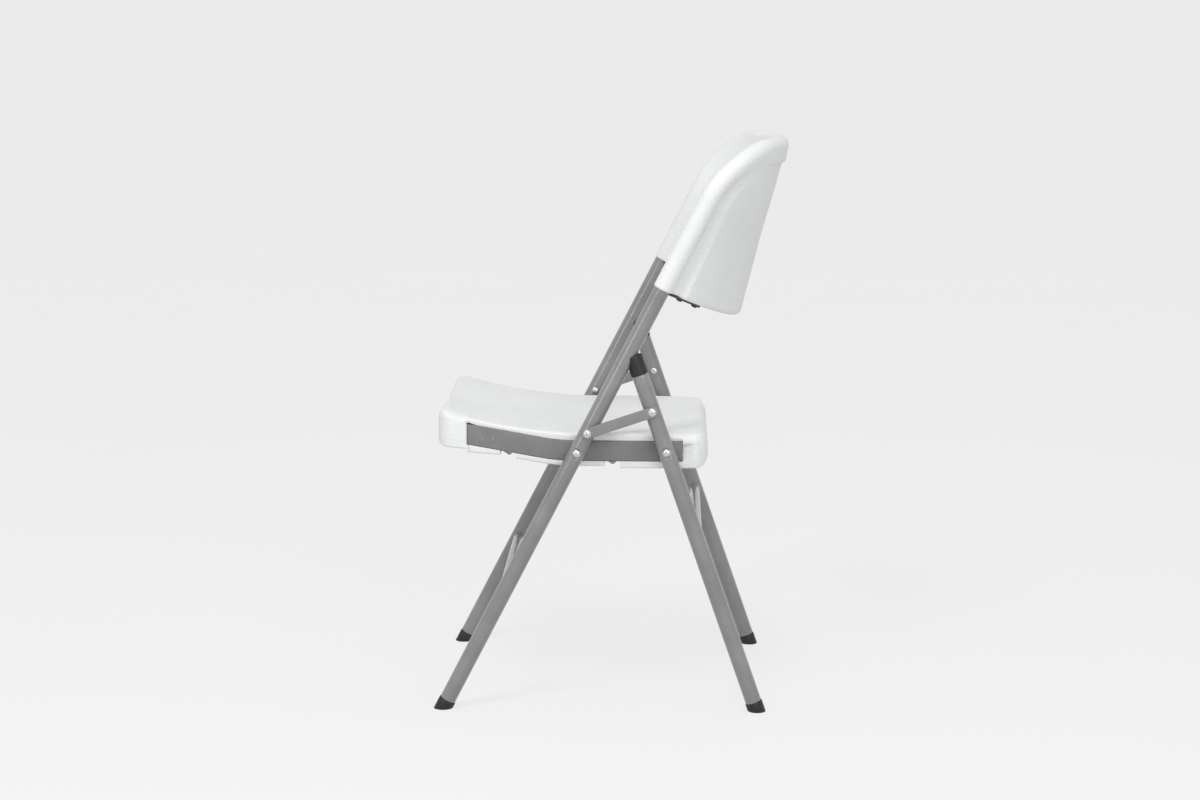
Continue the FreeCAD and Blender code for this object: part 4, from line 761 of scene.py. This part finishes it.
def roll_line():
    """Middle line of the rolled rim: up one tube, round a corner of one radius, over the top on a wide
    circle and down again. Gives its place across and along, and the direction that looks out of the panel
    there."""
    plain_side = np.linspace(SIDE_ROWS_START, CORNER_ALONG - BACK_BOTTOM, SIDE_ROWS)
    side = BACK_BOTTOM + np.concatenate([FOOT_ROWS, plain_side])
    reach = np.arctan2(CORNER_ALONG - CROWN_ALONG, CORNER_X)
    corner = np.linspace(0, reach, CORNER_ROWS)[1:]
    crown = np.linspace(reach, np.pi / 2, CROWN_ROWS)[1:]
    corner_x = CORNER_X + CORNER_RADIUS * np.cos(corner)
    corner_along = CORNER_ALONG + CORNER_RADIUS * np.sin(corner)
    x = np.concatenate([np.full(len(side), HALF_TRACK), corner_x, CROWN_RADIUS * np.cos(crown)])
    along = np.concatenate([side, corner_along, CROWN_ALONG + CROWN_RADIUS * np.sin(crown)])
    out = np.concatenate([np.zeros(len(side)), corner, crown])
    whole_x = np.concatenate([x, -x[-2::-1]])
    whole_along = np.concatenate([along, along[-2::-1]])
    whole_out = np.concatenate([out, np.pi - out[-2::-1]])
    return whole_x[:, None], whole_along[:, None], whole_out[:, None]


def back_skin():
    """Backrest: a fan of lines from the middle of the lower edge to the roll line. Each point lies on a
    middle surface, bowed in a circle's arc from tube to tube, and is given a thickness to both sides of it
    by its distance from the roll line: round roll, thinner neck, then the panel. A half circle shuts the
    roll."""
    line_x, line_along, out = roll_line()
    inset = np.concatenate([PANEL_ROWS, RIM_ROWS])[None, :]
    share = 1 - inset / inset.max()
    x = line_x * share
    along = BACK_BOTTOM + (line_along - BACK_BOTTOM) * share
    depth = bow_depth(along) - PANEL_HALF
    bow = (HALF_TRACK ** 2 + depth ** 2) / (2 * depth)
    root = np.sqrt(bow ** 2 - x ** 2)
    y = depth - bow + root
    slope = -x / root
    size = np.sqrt(1 + slope ** 2)
    inside = (1 - share) * (line_x * np.cos(out) * size + (line_along - BACK_BOTTOM) * np.sin(out))
    swell = (ROLL_RADIUS - PANEL_HALF) * np.exp(-(inside / SWELL_WIDTH) ** 2)
    valley = (blend(inside, *VALLEY_FALL) - blend(inside, *VALLEY_CLIMB)) * np.cos(out) ** VALLEY_FOCUS
    lip = blend(inside, *LIP_CLIMB) * (1 - blend(inside, *LIP_FALL)) * np.sin(out) ** LIP_FOCUS
    rear_foot_round = FOOT_ROUND + (FOOT_ROUND_MIDDLE - FOOT_ROUND) * (1 - (x / HALF_TRACK) ** 2)
    front = PANEL_HALF + swell - FRONT_VALLEY_DEPTH * valley - ease(along - BACK_BOTTOM, FOOT_ROUND)
    rear = PANEL_HALF + swell - VALLEY_DEPTH * valley + LIP_HEIGHT * lip
    rear = np.where(inside == 0, front, rear - ease(along - BACK_BOTTOM, rear_foot_round))
    front_x, front_y = x + slope / size * front, y - front / size
    rear_x, rear_y = x - slope / size * rear, y + rear / size
    turn = np.linspace(0, np.pi, ROLL_POINTS)[1:-1]
    cap, cap_slope, cap_size = front[:, -1:], slope[:, -1:], size[:, -1:]
    cap_out = np.sin(turn) * np.cos(out)
    cap_x = line_x + cap * (np.cos(turn) * cap_slope + cap_out) / cap_size
    cap_y = y[:, -1:] + cap * (cap_out * cap_slope - np.cos(turn)) / cap_size
    cap_along = line_along + cap * np.sin(turn) * np.sin(out)
    all_x = np.concatenate([front_x, cap_x, rear_x[:, ::-1]], axis=1)
    all_y = np.concatenate([front_y, cap_y, rear_y[:, ::-1]], axis=1)
    all_along = np.concatenate([along, cap_along, along[:, ::-1]], axis=1)
    points = in_front_frame(all_x, all_y, all_along)
    rows, columns = points.shape[:2]
    faces = grid_faces(rows, columns, around=False)
    last = inset.size - 1
    step = np.arange(last)
    for start in (0, (rows - 1) * columns):
        near, far = start + step, start + columns - 1 - step
        faces += np.stack([near, near + 1, far - 1, far], axis=-1).tolist()
        faces.append(list(range(start + last, start + columns - last)))
    return points.reshape(-1, 3), faces


backrest = back_skin()
add_piece("backrest_skin", [backrest], "front_frame", white_plastic, ["backrest"], crease=50)

# Back brackets: small steel tabs welded to the tubes under the backrest, which keep their solids. Two
# pan-head screws in each go up through the tab and hold the backrest down. Tabs and screws are coloured
# near black, which is painted shade: the shade they sit in under the backrest.
SCREW_SHANK, PAN_RADIUS, SCREW_POINTS = 1.9, 4.8, 32
SCREW_RADII = np.array([0.1, SCREW_SHANK, SCREW_SHANK, PAN_RADIUS, PAN_RADIUS, 4.5, 3.8, 2.6, 0.1])[:, None]
SCREW_HEIGHTS = np.array([11.5, 10.0, 0.0, 0.0, -1.6, -2.4, -3.0, -3.4, -3.6])[:, None]
BRACKET_UNDER = BACK_BOTTOM - 3.0
BRACKET_RUN, BRACKET_BACK, SCREW_SHARES = 43.0, 57.0, (0.55, 1.0)
# Painted shade: both tones are near black, for the shade under the backrest, mixed at random by a cloud.
PAINTED_SHADE_TONE, PAINTED_SHADE_RUBBED_TONE = (0.030, 0.029, 0.028, 1), (0.060, 0.058, 0.056, 1)
dark_steel = Finish("dark_steel", specular=0.4)
painted_shade_cloud = dark_steel.noise(scale=220, detail=3)
dark_steel.feed("Base Color", dark_steel.mix(painted_shade_cloud, PAINTED_SHADE_TONE, PAINTED_SHADE_RUBBED_TONE))
dark_steel.feed("Roughness", painted_shade_cloud * 0.2 + 0.4)
dark_steel.bump(dark_steel.noise(scale=1200), strength=0.15, distance=0.0003)
for hand in ("left", "right"):
    refinish(f"{hand}_back_bracket", dark_steel)


def screw_skin(share):
    """Screw: a turned profile along the tube direction, a shank up into the panel and a pan head under the
    tab, at a share of the tab's run."""
    turn = full_turn(SCREW_POINTS)
    x = HALF_TRACK - share * BRACKET_RUN + SCREW_RADII * np.cos(turn)
    y = share * BRACKET_BACK + SCREW_RADII * np.sin(turn)
    return closed_skin(in_front_frame(x, y, BRACKET_UNDER + SCREW_HEIGHTS))


left_screws = [screw_skin(share) for share in SCREW_SHARES]
all_screws = left_screws + [mirrored(screw) for screw in left_screws]
add_piece("back_screws_skin", all_screws, "front_frame", dark_steel, ["back_screws"])

# Floor: one plain pale studio floor, which keeps the chair's shadow. Part of what the camera and shiny
# surfaces see of it is a plain white glow that lights nothing else.
FLOOR_HALF, FLOOR_GLOW = 60.0, 0.70
FLOOR_GREY, FLOOR_PALE = (0.62, 0.62, 0.62, 1), (0.66, 0.66, 0.66, 1)
GLOW_WHITE = (1, 1, 1, 1)
UNLIT_RAYS = ("Is Camera Ray", "Is Glossy Ray", "Is Transmission Ray")
pale_floor = Finish("pale_floor", roughness=0.9, specular=0.1)
pale_floor.feed("Base Color", pale_floor.mix(pale_floor.noise(scale=1.5), FLOOR_GREY, FLOOR_PALE))
floor_seen = sum(pale_floor.node("ShaderNodeLightPath", {}, {}, ray) for ray in UNLIT_RAYS)
floor_lit = Wire(pale_floor, pale_floor.shader.outputs[0])
floor_glow = pale_floor.node("ShaderNodeEmission", {}, {"Color": GLOW_WHITE, "Strength": 1.0})
floor_parts = {0: floor_seen * FLOOR_GLOW, 1: floor_lit, 2: floor_glow}
floor_surface = pale_floor.node("ShaderNodeMixShader", {}, floor_parts)
pale_floor.link(pale_floor.tree.nodes["Material Output"].inputs["Surface"], floor_surface)
floor_corners = np.array([[-1, -1, 0], [1, -1, 0], [1, 1, 0], [-1, 1, 0]]) * FLOOR_HALF
floor_mesh = bpy.data.meshes.new("studio_floor")
floor_mesh.from_pydata(floor_corners.tolist(), [], [(0, 1, 2, 3)])
floor_mesh.materials.append(pale_floor.material)
studio_floor = bpy.data.objects.new("studio_floor", floor_mesh)
bpy.context.scene.collection.objects.link(studio_floor)

# Light: an even pale room that looks as pale as the floor to the camera, a soft lamp high beside the chair,
# a broad one on the camera's side and a small low one in front, which draws a line of light on the tubes.
ROOM_LIGHT, ROOM_STRENGTH = (0.985, 0.985, 0.98, 1), 0.66
ROOM_SEEN = (0.829, 0.832, 0.833, 1)
LAMP_TARGET = Vector((0, 0, 0.45))
world = bpy.data.worlds.new("studio")
bpy.context.scene.world = world
world.use_nodes = True
room = Nodes(world.node_tree)
room_light = room.tree.nodes["Background"]
room.link(room_light.inputs["Color"], ROOM_LIGHT)
room.link(room_light.inputs["Strength"], ROOM_STRENGTH)
room_lit = Wire(room, room_light.outputs[0])
room_seen = room.node("ShaderNodeBackground", {}, {"Color": ROOM_SEEN, "Strength": 1.0})
room_rays = sum(room.node("ShaderNodeLightPath", {}, {}, ray) for ray in UNLIT_RAYS)
room_surface = room.node("ShaderNodeMixShader", {}, {0: room_rays, 1: room_lit, 2: room_seen})
room.link(room.tree.nodes["World Output"].inputs["Surface"], room_surface)


def add_lamp(name, place, size, watts):
    """A round area lamp, turned towards the middle of the chair and not seen by the camera."""
    lamp = bpy.data.lights.new(name, "AREA")
    lamp.shape = "DISK"
    lamp.size = size
    lamp.energy = watts
    holder = bpy.data.objects.new(name, lamp)
    holder.location = place
    holder.rotation_euler = (LAMP_TARGET - Vector(place)).to_track_quat("-Z", "Y").to_euler()
    holder.visible_camera = False
    bpy.context.scene.collection.objects.link(holder)


add_lamp("key", (2.1, -0.9, 3.4), size=1.1, watts=42)
add_lamp("fill", (3.0, 1.3, 1.8), size=2.0, watts=30)
add_lamp("side", (2.2, -2.0, 1.1), size=0.6, watts=6)

# Camera: beside the chair, a little higher than its top and looking slightly down, with a long lens. Its
# direction comes from yaw and pitch, and a small roll turns the picture about it.
CAMERA_PLACE = Vector((4.1914, 0.0855, 1.1258))
CAMERA_YAW, CAMERA_PITCH, CAMERA_ROLL = np.radians([-1.504, 9.126, 0.177])
CAMERA_LENS, CAMERA_SENSOR = 79.41, 36
level_ahead = Vector((-np.cos(CAMERA_YAW), np.sin(CAMERA_YAW), 0))
ahead = level_ahead * np.cos(CAMERA_PITCH) - Vector((0, 0, np.sin(CAMERA_PITCH)))
level_right = ahead.cross(Vector((0, 0, 1))).normalized()
level_up = level_right.cross(ahead)
right = level_right * np.cos(CAMERA_ROLL) + level_up * np.sin(CAMERA_ROLL)
up = level_up * np.cos(CAMERA_ROLL) - level_right * np.sin(CAMERA_ROLL)
camera_data = bpy.data.cameras.new("camera")
camera_data.lens = CAMERA_LENS
camera_data.sensor_width = CAMERA_SENSOR
camera = bpy.data.objects.new("camera", camera_data)
camera.matrix_world = Matrix.Translation(CAMERA_PLACE) @ Matrix((right, up, -ahead)).transposed().to_4x4()
bpy.context.scene.collection.objects.link(camera)
bpy.context.scene.camera = camera
bpy.context.scene.view_settings.view_transform = "Standard"
